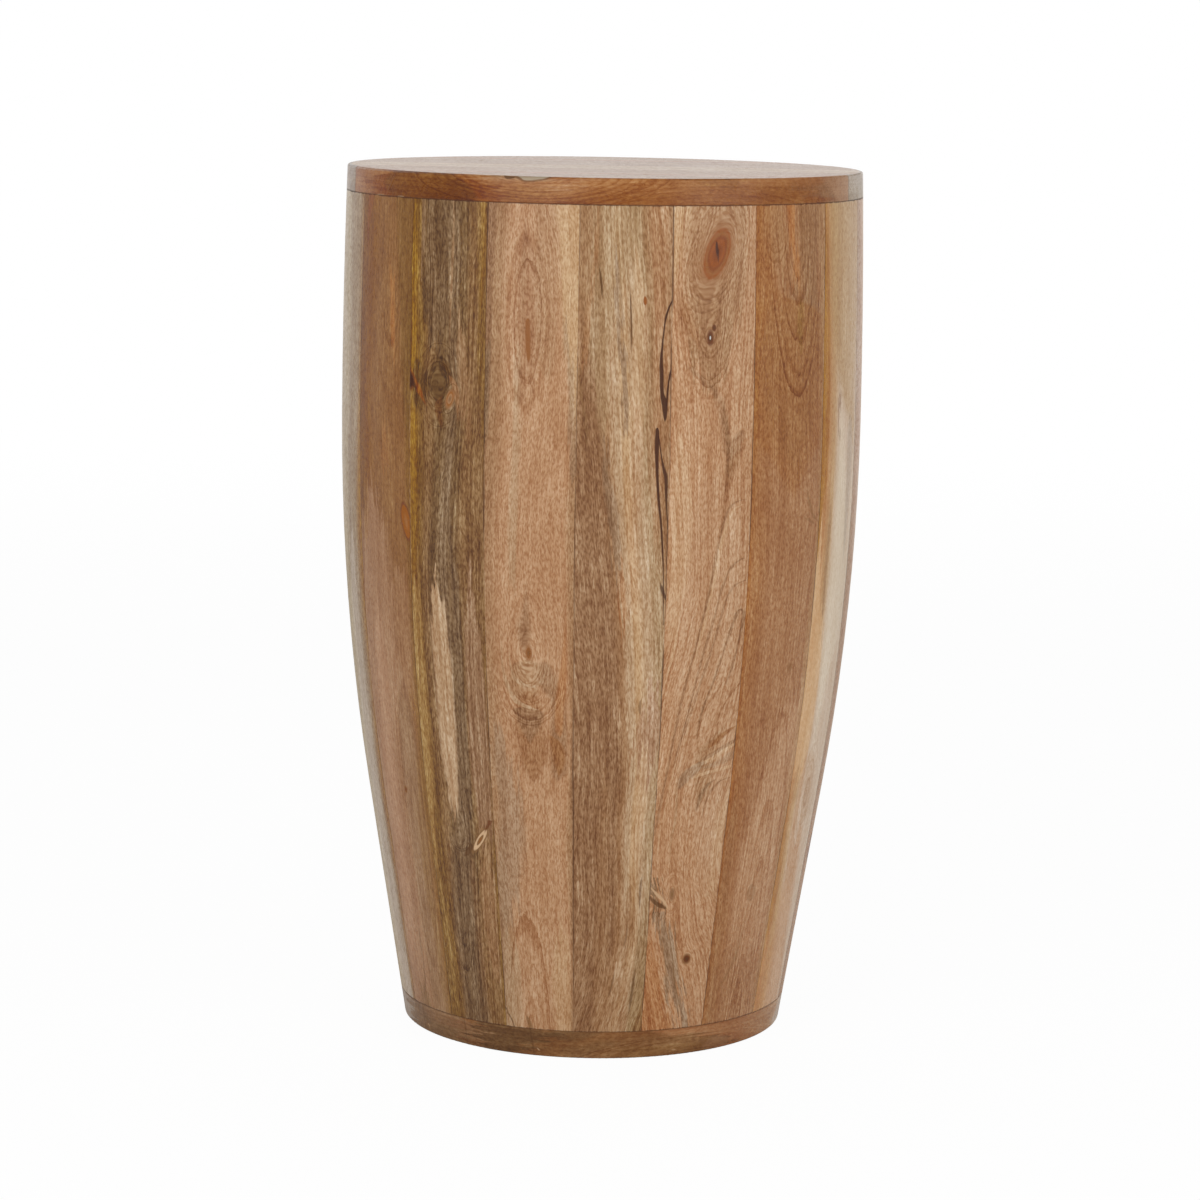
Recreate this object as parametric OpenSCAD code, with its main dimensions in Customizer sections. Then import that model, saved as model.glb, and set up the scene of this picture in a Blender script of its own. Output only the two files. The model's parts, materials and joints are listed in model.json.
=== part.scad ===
// Drum side table
// A coopered drum: eighteen bevelled and bowed staves stand round two hidden former discs,
// between a round top of edge-glued boards and a round base of narrower edge-glued boards.
// Millimetres. +Z is up, the front is towards -Y, and the origin is the middle of the
// underside of the base, where the table stands on the floor.

/* [Drum] */
// Height of the whole table
table_h = 560; // [500:5:620]
// Radius of the drum where it is widest
belly_r = 169; // [155:1:185]
// Height of the widest place above the floor
belly_z = 398; // [360:1:430]
// Radius of the long bow of the side above the widest place
upper_bow_r = 4900; // [2500:50:9000]
// Radius of the bow of the side below the widest place
lower_bow_r = 1510; // [1300:10:2200]
// Height at which the bow ends and the side runs straight down to the floor
straight_z = 158; // [100:1:200]

/* [Staves] */
// Thickness of a stave, square to its face
stave_t = 20; // [14:0.5:26]
// How far a joint may wander from even spacing, in degrees
wander_angle = 1; // [0:0.1:2]
// Which set of sawn widths the staves have
width_seed = 9412; // [0:1:20000]
// Angle from the front to the left joint of the first stave, in degrees
first_joint_angle = -65.5; // [-180:0.1:180]

/* [Top] */
// Thickness of the top boards
top_t = 16.3; // [13:0.1:25]
// Width of a top board before the top is cut round
top_board_w = 117.6; // [90:0.2:135]
// Turn of the top boards about the upright axis, in degrees
top_turn = -2.3; // [-90:0.1:90]
// Radius of the softened upper edge
top_ease = 1.5; // [0.5:0.1:4]

/* [Base] */
// Thickness of the base boards
base_t = 18.3; // [14:0.1:25]
// Width of the front board of the base, from its joint to the rim
base_front_w = 50.3; // [40:0.1:60]
// Width of the back board of the base, from its joint to the rim
base_back_w = 28.6; // [20:0.1:40]
// Turn of the base boards about the upright axis, in degrees
base_turn = 35; // [-90:1:90]
// Radius of the softened lower edge
base_ease = 1.5; // [0.5:0.1:3]

/* [Formers] */
// Thickness of the two former discs inside the drum
former_t = 18; // [12:0.5:24]
// Gap for glue between the edge of a former and the staves
former_gap = 0.3; // [0.1:0.1:1]

/* [Screws] */
// Diameter of a screw's shank
screw_d = 4; // [3:0.5:5]
// Length of a screw below its head
screw_l = 28; // [22:1:29]
// Diameter of a screw's flat head
screw_head_d = 9; // [7:0.5:11]
// Thickness of a screw's flat head
screw_head_t = 2.4; // [1.8:0.1:3]
// Length of the tapered point
screw_point_l = 4; // [2:0.5:8]
// Width of the blunt end of the point
screw_point_d = 0.6; // [0.3:0.1:1.5]
// Width of the cross recess in the head
recess_w = 1.2; // [0.8:0.1:2]
// Length of each arm of the cross recess
recess_l = 5.4; // [3:0.2:6]
// Depth of the cross recess
recess_d = 1.4; // [0.8:0.1:1.6]
// Gap round a screw in its hole
screw_gap = 0.3; // [0.1:0.1:0.5]
// Distance of the top screws from the edge of the upper former
top_screw_edge = 47; // [30:1:55]
// Distance of the base screws from the edge of the lower former
base_screw_edge = 19; // [12:1:22]
// Depth of the counterbores in the underside of the base
counterbore = 4; // [3.5:0.1:6]

/* [Hidden] */

stave_count = 18;
round_facets = 180;
bow_facets = 720;
small_facets = 48;
top_underside = table_h - top_t;
reach = 2 * belly_r;
// How far a cutting shape runs past what it cuts
over = 1;

// Lean of the straight lower end of the side, and of the side at the very top
foot_lean = asin((belly_z - straight_z) / lower_bow_r);
top_lean = asin((table_h - belly_z) / upper_bow_r);

// Angle of joint number i from the +X axis. The joints lie in upright planes through the middle.
wander = rands(-wander_angle, wander_angle, stave_count, width_seed);
function joint_angle(i) =
    first_joint_angle - 90 + i * 360 / stave_count + wander[i % stave_count];

// Angle that stave number n spans, and the angle of its middle
function stave_span(n) = joint_angle(n) - joint_angle(n - 1);
function stave_middle(n) = (joint_angle(n) + joint_angle(n - 1)) / 2;

// Place where a side set in by this much stops being bowed, as [radius, height]
function bend(inset) = [
    belly_r - lower_bow_r + (lower_bow_r - inset) * cos(foot_lean),
    belly_z - (lower_bow_r - inset) * sin(foot_lean)
];

// Radius at height z of the side set in by this much
function side_r(z, inset = 0) =
    z >= belly_z ? belly_r - upper_bow_r + sqrt(pow(upper_bow_r - inset, 2) - pow(z - belly_z, 2))
    : z >= bend(inset)[1]
        ? belly_r - lower_bow_r + sqrt(pow(lower_bow_r - inset, 2) - pow(belly_z - z, 2))
    : bend(inset)[0] - (bend(inset)[1] - z) * tan(foot_lean);

stave_tones = ["#a0714e", "#80674a", "#bd9371", "#a98a62", "#c09476", "#a0754f", "#b3915f"];
top_tone = "#a5714a";
base_tone = "#8a6140";
former_tone = "#c9ae86";
screw_tone = "#8f9092";

// Half outline of the solid drum, set in by this much
module side_shape(inset) {
    corner = bend(inset);
    intersection() {
        translate([belly_r - upper_bow_r, belly_z])
            circle(r = upper_bow_r - inset, $fn = bow_facets);
        translate([0, belly_z]) square([reach, table_h - belly_z]);
    }
    intersection() {
        translate([belly_r - lower_bow_r, belly_z])
            circle(r = lower_bow_r - inset, $fn = bow_facets);
        translate([0, corner[1]]) square([reach, belly_z - corner[1]]);
    }
    polygon([[0, 0], [side_r(0, inset), 0], corner, [0, corner[1]]]);
}

// What comes off a corner at radius r, height 0, to round the edge of a side that leans out
module edge_cut(r, lean, ease) {
    middle = [r - ease * tan(45 - lean / 2), ease];
    out = ease + over;
    difference() {
        polygon([
            middle,
            [middle[0], -over],
            [r + over, -over],
            middle + [out * cos(lean), -out * sin(lean)]
        ]);
        translate(middle) circle(r = ease, $fn = small_facets);
    }
}

// Outer skin of the staves, seen from the side, from the base up to the top boards
module wall_shape() {
    intersection() {
        side_shape(0);
        translate([side_r(base_t) - 2 * stave_t, base_t])
            square([reach, top_underside - base_t]);
    }
}

// Plank sawn to the bow of the side, with the outer face still to be rounded
module plank_shape() {
    difference() {
        translate([side_r(base_t) - 2 * stave_t, base_t - over])
            square([reach, top_underside - base_t + 2 * over]);
        side_shape(stave_t);
    }
}

// One stave: the joints on its two edges are bevelled towards the middle of the drum, its
// inner face is flat across, and its outer face is rounded with the drum
module stave(number) {
    color(stave_tones[(number - 1) % len(stave_tones)])
    intersection() {
        rotate_extrude(
            angle = stave_span(number),
            start = joint_angle(number - 1),
            $fn = round_facets
        ) wall_shape();
        rotate([0, 0, stave_middle(number)])
            rotate([90, 0, 0])
                linear_extrude(height = belly_r, center = true) plank_shape();
    }
}

// One screw with its head's seat at height 0, pointing up
module screw() {
    shank_l = screw_l - screw_point_l;
    difference() {
        union() {
            translate([0, 0, -screw_head_t])
                cylinder(d = screw_head_d, h = screw_head_t, $fn = small_facets);
            cylinder(d = screw_d, h = shank_l, $fn = small_facets);
            translate([0, 0, shank_l])
                cylinder(d1 = screw_d, d2 = screw_point_d, h = screw_point_l, $fn = small_facets);
        }
        for (turn = [0, 90])
            rotate([0, 0, turn])
                translate([0, 0, recess_d - screw_head_t - (recess_d + over) / 2])
                    cube([recess_l, recess_w, recess_d + over], center = true);
    }
}

// Circles that the screws stand on
top_screw_r = side_r(top_underside, stave_t) - top_screw_edge;
base_screw_r = side_r(base_t, stave_t) - base_screw_edge;

// Puts its children at each top screw, two to a board
module at_top_screws() {
    for (i = [0:5])
        rotate([0, 0, top_turn + i * 60])
            translate([top_screw_r, 0, top_underside - former_t]) children();
}

// The base boards are numbered from the back to the front. The middle ones share equally what
// the front and back boards leave of the rim.
base_count = 6;
base_rim_r = side_r(base_t);
base_middle_w = (2 * base_rim_r - base_front_w - base_back_w) / (base_count - 2);

// How far the joint behind base board number i lies from the middle
function base_joint(i) = base_rim_r - base_back_w - (i - 2) * base_middle_w;
function base_line(i) = base_joint(i) - base_middle_w / 2;

// Puts its children at each base screw, two to each of the middle boards
module at_base_screws() {
    for (i = [2:base_count - 1])
        for (side = [-1, 1])
            rotate([0, 0, base_turn])
                translate([
                    side * sqrt(pow(base_screw_r, 2) - pow(base_line(i), 2)),
                    base_line(i),
                    counterbore
                ]) children();
}

module screw_hole() {
    cylinder(r = screw_d / 2 + screw_gap, h = screw_l + screw_gap, $fn = small_facets);
}

// One board of the round slab that is its child: what lies between two lines along the boards
module board_of(turn, low, high) {
    rotate([0, 0, turn])
        intersection() {
            children();
            translate([-reach, low, -over]) cube([2 * reach, high - low, table_h + 2 * over]);
        }
}

module top_slab() {
    rotate_extrude($fn = round_facets)
        difference() {
            intersection() {
                side_shape(0);
                translate([0, top_underside]) square([reach, top_t]);
            }
            translate([0, table_h]) mirror([0, 1])
                edge_cut(side_r(table_h), top_lean, top_ease);
        }
}

module top_board(low, high) {
    color(top_tone)
    difference() {
        board_of(top_turn, low, high) top_slab();
        at_top_screws() screw_hole();
    }
}

module top_board_front() {
    top_board(-reach, -top_board_w / 2);
}

module top_board_middle() {
    top_board(-top_board_w / 2, top_board_w / 2);
}

module top_board_back() {
    top_board(top_board_w / 2, reach);
}

module base_slab() {
    rotate_extrude($fn = round_facets)
        difference() {
            intersection() {
                side_shape(0);
                square([reach, base_t]);
            }
            edge_cut(side_r(0), foot_lean, base_ease);
        }
}

module base_board(number) {
    low = number == base_count ? -reach : base_joint(number + 1);
    high = number == 1 ? reach : base_joint(number);
    color(base_tone)
    difference() {
        board_of(base_turn, low, high) base_slab();
        at_base_screws() {
            screw_hole();
            translate([0, 0, -counterbore - over])
                cylinder(d = screw_head_d + 2 * screw_gap, h = counterbore + over, $fn = small_facets);
        }
    }
}

// Disc with one straight edge to each stave, planed to the lean of the staves between two heights
module former(low) {
    high = low + former_t;
    low_r = side_r(low, stave_t) - former_gap;
    high_r = side_r(high, stave_t) - former_gap;
    lean = atan((high_r - low_r) / former_t);
    difference() {
        translate([0, 0, low])
            cylinder(r = max(low_r, high_r) + stave_t / 2, h = former_t, $fn = round_facets);
        for (n = [1:stave_count])
            rotate([0, 0, stave_middle(n)])
                translate([low_r, 0, low])
                    rotate([0, lean, 0])
                        translate([0, -belly_r / 2, -former_t])
                            cube([belly_r, belly_r, 3 * former_t]);
    }
}

module upper_former() {
    color(former_tone)
    difference() {
        former(top_underside - former_t);
        at_top_screws() screw_hole();
    }
}

module lower_former() {
    color(former_tone)
    difference() {
        former(base_t);
        at_base_screws() screw_hole();
    }
}

module top_screws() {
    color(screw_tone) at_top_screws() screw();
}

module base_screws() {
    color(screw_tone) at_base_screws() screw();
}

top_board_front();
top_board_middle();
top_board_back();
stave(1);  // stave_01
stave(2);  // stave_02
stave(3);  // stave_03
stave(4);  // stave_04
stave(5);  // stave_05
stave(6);  // stave_06
stave(7);  // stave_07
stave(8);  // stave_08
stave(9);  // stave_09
stave(10);  // stave_10
stave(11);  // stave_11
stave(12);  // stave_12
stave(13);  // stave_13
stave(14);  // stave_14
stave(15);  // stave_15
stave(16);  // stave_16
stave(17);  // stave_17
stave(18);  // stave_18
base_board(1);  // base_board_1
base_board(2);  // base_board_2
base_board(3);  // base_board_3
base_board(4);  // base_board_4
base_board(5);  // base_board_5
base_board(6);  // base_board_6
upper_former();
lower_former();
top_screws();
base_screws();
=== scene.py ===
"""Looks of a drum side table made of sawn staves: lacquered wood, studio and camera.

Lengths in a board's own pattern are millimetres: "across" runs over the board to
the right as seen from outside, and "along" runs with the grain.
"""

from __future__ import annotations

import json
import logging
import math
from collections.abc import Mapping, Sequence
from dataclasses import dataclass, field
from enum import Enum
from typing import Union

import bpy
from mathutils import Matrix, Vector

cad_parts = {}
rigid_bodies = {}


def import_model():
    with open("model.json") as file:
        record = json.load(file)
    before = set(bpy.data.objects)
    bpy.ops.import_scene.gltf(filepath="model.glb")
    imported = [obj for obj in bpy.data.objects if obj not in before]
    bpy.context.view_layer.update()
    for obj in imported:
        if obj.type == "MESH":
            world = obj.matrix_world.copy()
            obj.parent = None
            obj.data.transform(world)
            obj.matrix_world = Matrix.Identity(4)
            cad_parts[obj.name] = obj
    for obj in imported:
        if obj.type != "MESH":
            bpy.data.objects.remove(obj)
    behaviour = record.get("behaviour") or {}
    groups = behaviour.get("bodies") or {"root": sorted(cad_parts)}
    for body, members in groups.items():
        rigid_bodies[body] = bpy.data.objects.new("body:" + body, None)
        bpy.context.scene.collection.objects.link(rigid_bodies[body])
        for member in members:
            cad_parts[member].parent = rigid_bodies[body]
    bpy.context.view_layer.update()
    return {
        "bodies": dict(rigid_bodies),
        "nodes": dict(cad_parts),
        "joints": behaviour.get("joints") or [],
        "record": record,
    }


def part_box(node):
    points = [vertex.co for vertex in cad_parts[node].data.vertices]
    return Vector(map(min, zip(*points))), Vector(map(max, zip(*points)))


LOG = logging.getLogger("drum_table")
# The lacquer's reflection and the light measured in front; colours are painted darker or lighter by them,
# which paints light and shade into them.
FRONT_LIGHT_OFFSET = (0.021, 0.98)
MM = 0.001

Colour = tuple[float, float, float, float]
Triple = tuple[float, float, float]
Stops = tuple[tuple[float, "Tone"], ...]
Points = tuple[tuple[float, float], ...]
Value = Union["Field", float, tuple, Vector]
Settings = Mapping[str, object]
Sockets = Mapping[Union[str, int], Value]


class Tone(Enum):
    """Tones of the lacquered wood, in red, green and blue out of 255."""

    CREAM = (187, 152, 114)
    PALE = (196, 163, 128)
    SAP = (177, 145, 112)
    TAN = (175, 133, 98)
    PINK = (164, 126, 98)
    FAWN = (158, 120, 86)
    ASH = (150, 122, 96)
    BROWN = (142, 105, 75)
    UMBER = (126, 93, 62)
    SMOKE = (116, 90, 66)
    OLIVE = (128, 94, 54)
    MUSTARD = (154, 112, 50)
    RUSSET = (150, 105, 70)
    ORANGE = (165, 113, 72)
    CHESTNUT = (140, 90, 52)
    RED = (140, 80, 42)
    WINE = (104, 62, 38)
    BARK = (92, 63, 42)
    BLACK = (74, 49, 28)
    CHALK = (200, 184, 163)
    CLAY = (153, 111, 79)
    ROSE = (154, 119, 92)
    CEDAR = (133, 97, 68)
    SPECK = (206, 202, 196)
    HONEY = (160, 126, 98)
    RUST = (128, 72, 36)
    COCOA = (126, 86, 54)
    EARTH = (118, 90, 62)
    PEARL = (180, 167, 154)
    DUSK = (150, 133, 117)
    LICHEN = (168, 152, 128)
    SIENNA = (156, 104, 64)
    CINNAMON = (146, 94, 56)
    TEAK = (116, 80, 51)
    LOAM = (94, 68, 46)
    OCHRE = (132, 92, 42)
    STRAW = (156, 120, 72)
    OAT = (168, 138, 104)
    LINEN = (190, 169, 148)
    PEACH = (181, 143, 110)

    def offset_for_light(self, veil: float, light: float) -> Colour:
        """Gives the colour to paint for a tone, with painted light and shade that offset the lighting where
        the wood stands.

        Args:
            veil: the light that the lacquer adds where the wood stands.
            light: how brightly the wood is lit there.

        Returns:
            The linear colour under the lacquer, painted darker or lighter to offset that reflection and
            light.
        """
        darkest, palest = 0.001, 0.9
        # Painted light and shade: the reflection is taken off the tone and the rest is divided by the light
        # where the piece stands.
        wood = ((_linear(part / 255) - veil) / light for part in self.value)
        return (*(min(max(part, darkest), palest) for part in wood), 1.0)


def _linear(part: float) -> float:
    """Turns a display value from 0 to 1 into linear light."""
    return part / 12.92 if part <= 0.04045 else ((part + 0.055) / 1.055) ** 2.4


# ---------------------------------------------------------------- node building


class Field:
    """A socket that varies over a surface, used like a number in expressions."""

    def __init__(self, tree: Tree, socket: bpy.types.NodeSocket) -> None:
        """Keeps the socket and the tree it belongs to."""
        self.tree = tree
        self.socket = socket

    def math(self, operation: str, *others: Value, first: bool = True) -> Field:
        """Adds one Math node.

        Args:
            operation: the node's operation.
            others: the other operands.
            first: whether this field is the first operand.

        Returns:
            The node's result.
        """
        values = (self, *others) if first else (*others, self)
        settings = {"operation": operation}
        return self.tree.output("ShaderNodeMath", settings, dict(enumerate(values)))

    def __add__(self, other: Value) -> Field:
        """Adds."""
        return self.math("ADD", other)

    __radd__ = __add__

    def __sub__(self, other: Value) -> Field:
        """Subtracts."""
        return self.math("SUBTRACT", other)

    def __rsub__(self, other: Value) -> Field:
        """Subtracts this from another value."""
        return self.math("SUBTRACT", other, first=False)

    def __mul__(self, other: Value) -> Field:
        """Multiplies."""
        return self.math("MULTIPLY", other)

    __rmul__ = __mul__

    def __truediv__(self, other: Value) -> Field:
        """Divides."""
        return self.math("DIVIDE", other)

    def __rtruediv__(self, other: Value) -> Field:
        """Divides another value by this."""
        return self.math("DIVIDE", other, first=False)

    def __abs__(self) -> Field:
        """Takes the size without the sign."""
        return self.math("ABSOLUTE")

    def fade(self, start: float, stop: float, low: float = 0.0, high: float = 1.0) -> Field:
        """Moves smoothly from one level to another as the field goes over a range.

        Args:
            start: where the change begins.
            stop: where it ends.
            low: the level before it.
            high: the level after it.

        Returns:
            The level.
        """
        return self.tree.output(
            "ShaderNodeMapRange",
            {"interpolation_type": "SMOOTHSTEP"},
            {
                "Value": self,
                "From Min": start,
                "From Max": stop,
                "To Min": low,
                "To Max": high,
            },
        )


class Tree:
    """Adds nodes and links to one node tree.

    The numbers are where a Mix node keeps its factor, its colours and its result.
    """

    FACTOR, UNDER, OVER, MIXED = 0, 6, 7, 2

    def __init__(self, tree: bpy.types.NodeTree) -> None:
        """Empties the tree.

        Args:
            tree: the tree that the nodes go into.
        """
        self.nodes = tree.nodes
        self.links = tree.links
        # The painted offset for light that paint uses until a plank sets its own.
        self.light_offset = FRONT_LIGHT_OFFSET
        self.nodes.clear()

    def paint(self, tone: Tone) -> Colour:
        """Gives a tone's colour, painted darker or lighter to offset the reflection and light where this
        piece stands.
        """
        return tone.offset_for_light(*self.light_offset)

    def node(
        self, kind: str, settings: Settings | None = None, inputs: Sockets | None = None
    ) -> bpy.types.Node:
        """Adds one node.

        Args:
            kind: the node's type.
            settings: its settings, set first.
            inputs: a value or a link for each named socket.

        Returns:
            The node.
        """
        made = self.nodes.new(kind)
        for name, setting in (settings or {}).items():
            setattr(made, name, setting)
        for key, value in (inputs or {}).items():
            if isinstance(value, Field):
                self.links.new(value.socket, made.inputs[key])
            else:
                made.inputs[key].default_value = value
        return made

    def output(
        self,
        kind: str,
        settings: Settings | None = None,
        inputs: Sockets | None = None,
        name: Union[str, int] = 0,
    ) -> Field:
        """Adds one node and gives one of its outputs as a field."""
        return Field(self, self.node(kind, settings, inputs).outputs[name])

    def parts(self, point: Field) -> tuple[Field, ...]:
        """Gives a point's three coordinates."""
        split = self.node("ShaderNodeSeparateXYZ", inputs={"Vector": point})
        return tuple(Field(self, part) for part in split.outputs)

    def ramp(
        self, value: Field, low: float, high: float, stops: Sequence[tuple]
    ) -> tuple[Field, Field]:
        """Gives a colour and a cover for each value.

        Args:
            value: what the colour depends on.
            low: the value at the ramp's start.
            high: the value at its end.
            stops: the value, the tone and, where it isn't full, the cover.

        Returns:
            The colour and the cover.
        """
        made = self.node("ShaderNodeValToRGB", inputs={0: (value - low) * (1 / (high - low))})
        elements = made.color_ramp.elements
        ready = len(elements)
        for index, (place, tone, *cover) in enumerate(stops):
            spot = (place - low) / (high - low)
            element = elements[index] if index < ready else elements.new(spot)
            element.position = spot
            element.color = (*self.paint(tone)[:3], cover[0] if cover else 1.0)
        made.color_ramp.interpolation = "EASE"
        return Field(self, made.outputs[0]), Field(self, made.outputs[1])

    def curve(self, value: Field, points: Points) -> Field:
        """Draws a smooth line through points.

        Args:
            value: what the line depends on.
            points: the value and the line's level there, in rising order.

        Returns:
            The line's level.
        """
        xs, ys = zip(*points)
        flattest = 1e-3
        low, wide = min(ys), max(max(ys) - min(ys), flattest)
        start, length = xs[0], xs[-1] - xs[0]
        reach = {"Value": value, "From Min": start, "From Max": xs[-1]}
        place = self.output("ShaderNodeMapRange", {}, {**reach, "To Min": 0.0, "To Max": 1.0})
        made = self.node("ShaderNodeFloatCurve", inputs={"Value": place})
        spots = [((x - start) / length, (y - low) / wide) for x, y in points]
        line = made.mapping.curves[0].points
        line[0].location, line[1].location = spots[0], spots[-1]
        for spot in spots[1:-1]:
            line.new(*spot)
        for point in line:
            point.handle_type = "AUTO_CLAMPED"
        made.mapping.update()
        return Field(self, made.outputs[0]) * wide + low

    def noise(
        self,
        across: Value,
        along: Value,
        deep: Value,
        detail: float = 1.0,
        rough: float = 0.5,
        swirl: float = 0.0,
    ) -> Field:
        """Gives smooth noise from 0 to 1, about one bump a unit.

        Args:
            across: the first coordinate.
            along: the second.
            deep: the third, or a seed.
            detail: how many finer layers it has.
            rough: how strong those are.
            swirl: how much the noise bends itself.

        Returns:
            The noise.
        """
        place = self.output("ShaderNodeCombineXYZ", {}, {"X": across, "Y": along, "Z": deep})
        look = {"Scale": 1.0, "Detail": detail, "Roughness": rough, "Distortion": swirl}
        settings = {"noise_dimensions": "3D"}
        return self.output("ShaderNodeTexNoise", settings, {"Vector": place, **look})

    def line_noise(self, value: Field) -> Field:
        """Gives noise from 0 to 1 along one value."""
        look = {"Scale": 1.0, "Detail": 1.0, "Roughness": 0.45}
        return self.output("ShaderNodeTexNoise", {"noise_dimensions": "1D"}, {"W": value, **look})

    def mix(self, cover: Value, under: Value, over: Value) -> Field:
        """Lays one colour over another."""
        sockets = {self.FACTOR: cover, self.UNDER: under, self.OVER: over}
        return self.output("ShaderNodeMix", {"data_type": "RGBA"}, sockets, self.MIXED)

    def scale(self, colour: Field, level: Value) -> Field:
        """Makes a colour lighter or darker."""
        sockets = {"Vector": colour, "Scale": level}
        return self.output("ShaderNodeVectorMath", {"operation": "SCALE"}, sockets)

    def surface(self, sockets: Sockets, height: Field, strength: float, depth_mm: float) -> None:
        """Joins a surface with relief to the material's output.

        Args:
            sockets: the shader's sockets.
            height: the relief.
            strength: how strongly it shows.
            depth_mm: how deep it is.
        """
        relief = {"Strength": strength, "Distance": depth_mm * MM, "Height": height}
        bump = self.output("ShaderNodeBump", {}, relief)
        shader = self.output("ShaderNodeBsdfPrincipled", {}, {**sockets, "Normal": bump})
        self.node("ShaderNodeOutputMaterial", {}, {"Surface": shader})


# ---------------------------------------------------------------- wood pattern


class Edge(Enum):
    """How a streak ends: frayed into the grain, clean, or as an open crack."""

    FRAYED = "frayed"
    CLEAN = "clean"
    CRACK = "crack"


@dataclass(frozen=True)
class Streak:
    """A run of another tone along a plank.

    cover is how strong the tone is, and soft how wide the streak's edge is. line
    holds, from low to high, how far along it is, where it lies across and its half
    width.
    """

    tone: Tone
    cover: float
    soft: float
    line: tuple[Triple, ...]
    edge: Edge


def vein(tone: Tone, cover: float, soft: float, *line: Triple) -> Streak:
    """Makes a streak that frays out into the grain."""
    return Streak(tone, cover, soft, line, Edge.FRAYED)


def patch(tone: Tone, cover: float, soft: float, *line: Triple) -> Streak:
    """Makes a streak with clean ends."""
    return Streak(tone, cover, soft, line, Edge.CLEAN)


def crack(tone: Tone, cover: float, soft: float, *line: Triple) -> Streak:
    """Makes a crack, or a filled one, that is sunk into the finished grain."""
    return Streak(tone, cover, soft, line, Edge.CRACK)


@dataclass(frozen=True)
class Eye:
    """A knot, or the middle of a set of nested growth rings.

    along and across are its place, tall and wide its half sizes, and lean how far
    it shifts across for each millimetre along. core holds the distance, in half
    sizes, with a tone and a cover. The rings are gap apart, begin and end that many
    half sizes out (start, reach) and have that depth of tone; with below they show
    only under it. part is how far the grain parts around it.
    """

    along: float
    across: float
    tall: float
    wide: float
    lean: float = 0.0
    core: tuple[tuple, ...] = ()
    gap: float = 0.0
    reach: float = 1.0
    start: float = 0.0
    depth: float = 0.3
    part: float = 0.0
    below: bool = False


@dataclass(frozen=True)
class Plank:
    """One board's pattern: its stripes, streaks, rings, knots and texture.

    stripes holds tones and where they lie across the board. drift says how far they
    move sideways along it, and wander how far the grain strays by itself. fibre,
    fleck, curl, cloud and lines are the depths of the grain's layers, and pore_mm
    and fibre_mm how long its pores and its fibres are. The last field holds the
    lacquer's reflection and the light measured where the board stands; the board's
    colours are painted darker or lighter by them, as painted light and shade.
    """

    seed: float
    stripes: Stops
    drift: Points = ()
    streaks: tuple[Streak, ...] = ()
    eyes: tuple[Eye, ...] = ()
    wander: float = 22.0
    fibre: float = 0.045
    fleck: float = 0.050
    curl: float = 0.045
    cloud: float = 0.045
    lines: float = 0.10
    pore_mm: float = 2.8
    fibre_mm: float = 28.0
    light_offset: tuple[float, float] = FRONT_LIGHT_OFFSET


@dataclass(frozen=True)
class Layer:
    """One layer of the grain: its marks' size in millimetres, its seed and its make."""

    across: float
    along: float
    seed: float
    detail: float = 2.0
    rough: float = 0.5
    swirl: float = 0.0


@dataclass(frozen=True)
class Rings:
    """How growth rings wobble, bunch together, darken and end.

    The wobbles and the shift are in rings, and beginning, ending and crown are
    shares of an eye's start, its reach and its height.
    """

    fray_wobble: float = 0.7
    broad_wobble: float = 4.0
    curl_wobble: float = 0.5
    seed_turns: float = 3.0
    bunching: float = 0.4
    shift: float = 3.0
    strength_pace: float = 0.7
    strength_seed: float = 5.0
    strength_edge: tuple[float, float] = (0.35, 0.65)
    faintest: float = 0.2
    late_wood: float = 0.35
    middle: float = 0.18
    beginning: float = 0.8
    ending: float = 0.75
    crown: float = 0.35


@dataclass(frozen=True)
class Dye:
    """How the pores, the flecks and the fine threads deepen the wood's tone."""

    level: float = 0.96
    fleck_lift: float = 0.4
    lines_lift: float = 0.15
    pores: float = 4.2
    flecks: float = 2.0
    thread_mm: float = 2.8
    thread_drift: float = 0.7
    thread_width: float = 0.13
    thread_gate: tuple[float, float] = (0.4, 0.6)
    faintest: float = 0.1


@dataclass(frozen=True)
class Heart:
    """How the core of a knot frays and mottles, and how many half sizes it reaches."""

    reach: float = 2.0
    fray: float = 0.25
    mottle: float = 0.3


@dataclass(frozen=True)
class Lacquer:
    """The satin lacquer, and how the grain under it shows in gloss and relief."""

    ior: float = 1.36
    gloss: float = 0.30
    ripple: float = 0.10
    cloud: float = 0.12
    open_grain: float = 0.13
    dull_joint: float = 0.3
    relief_mm: float = 0.12
    relief: float = 0.55
    fibre_rise: float = 0.5
    pore_drop: float = 0.9
    crack_drop: float = 0.8
    joint_drop: float = 3.0


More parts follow.
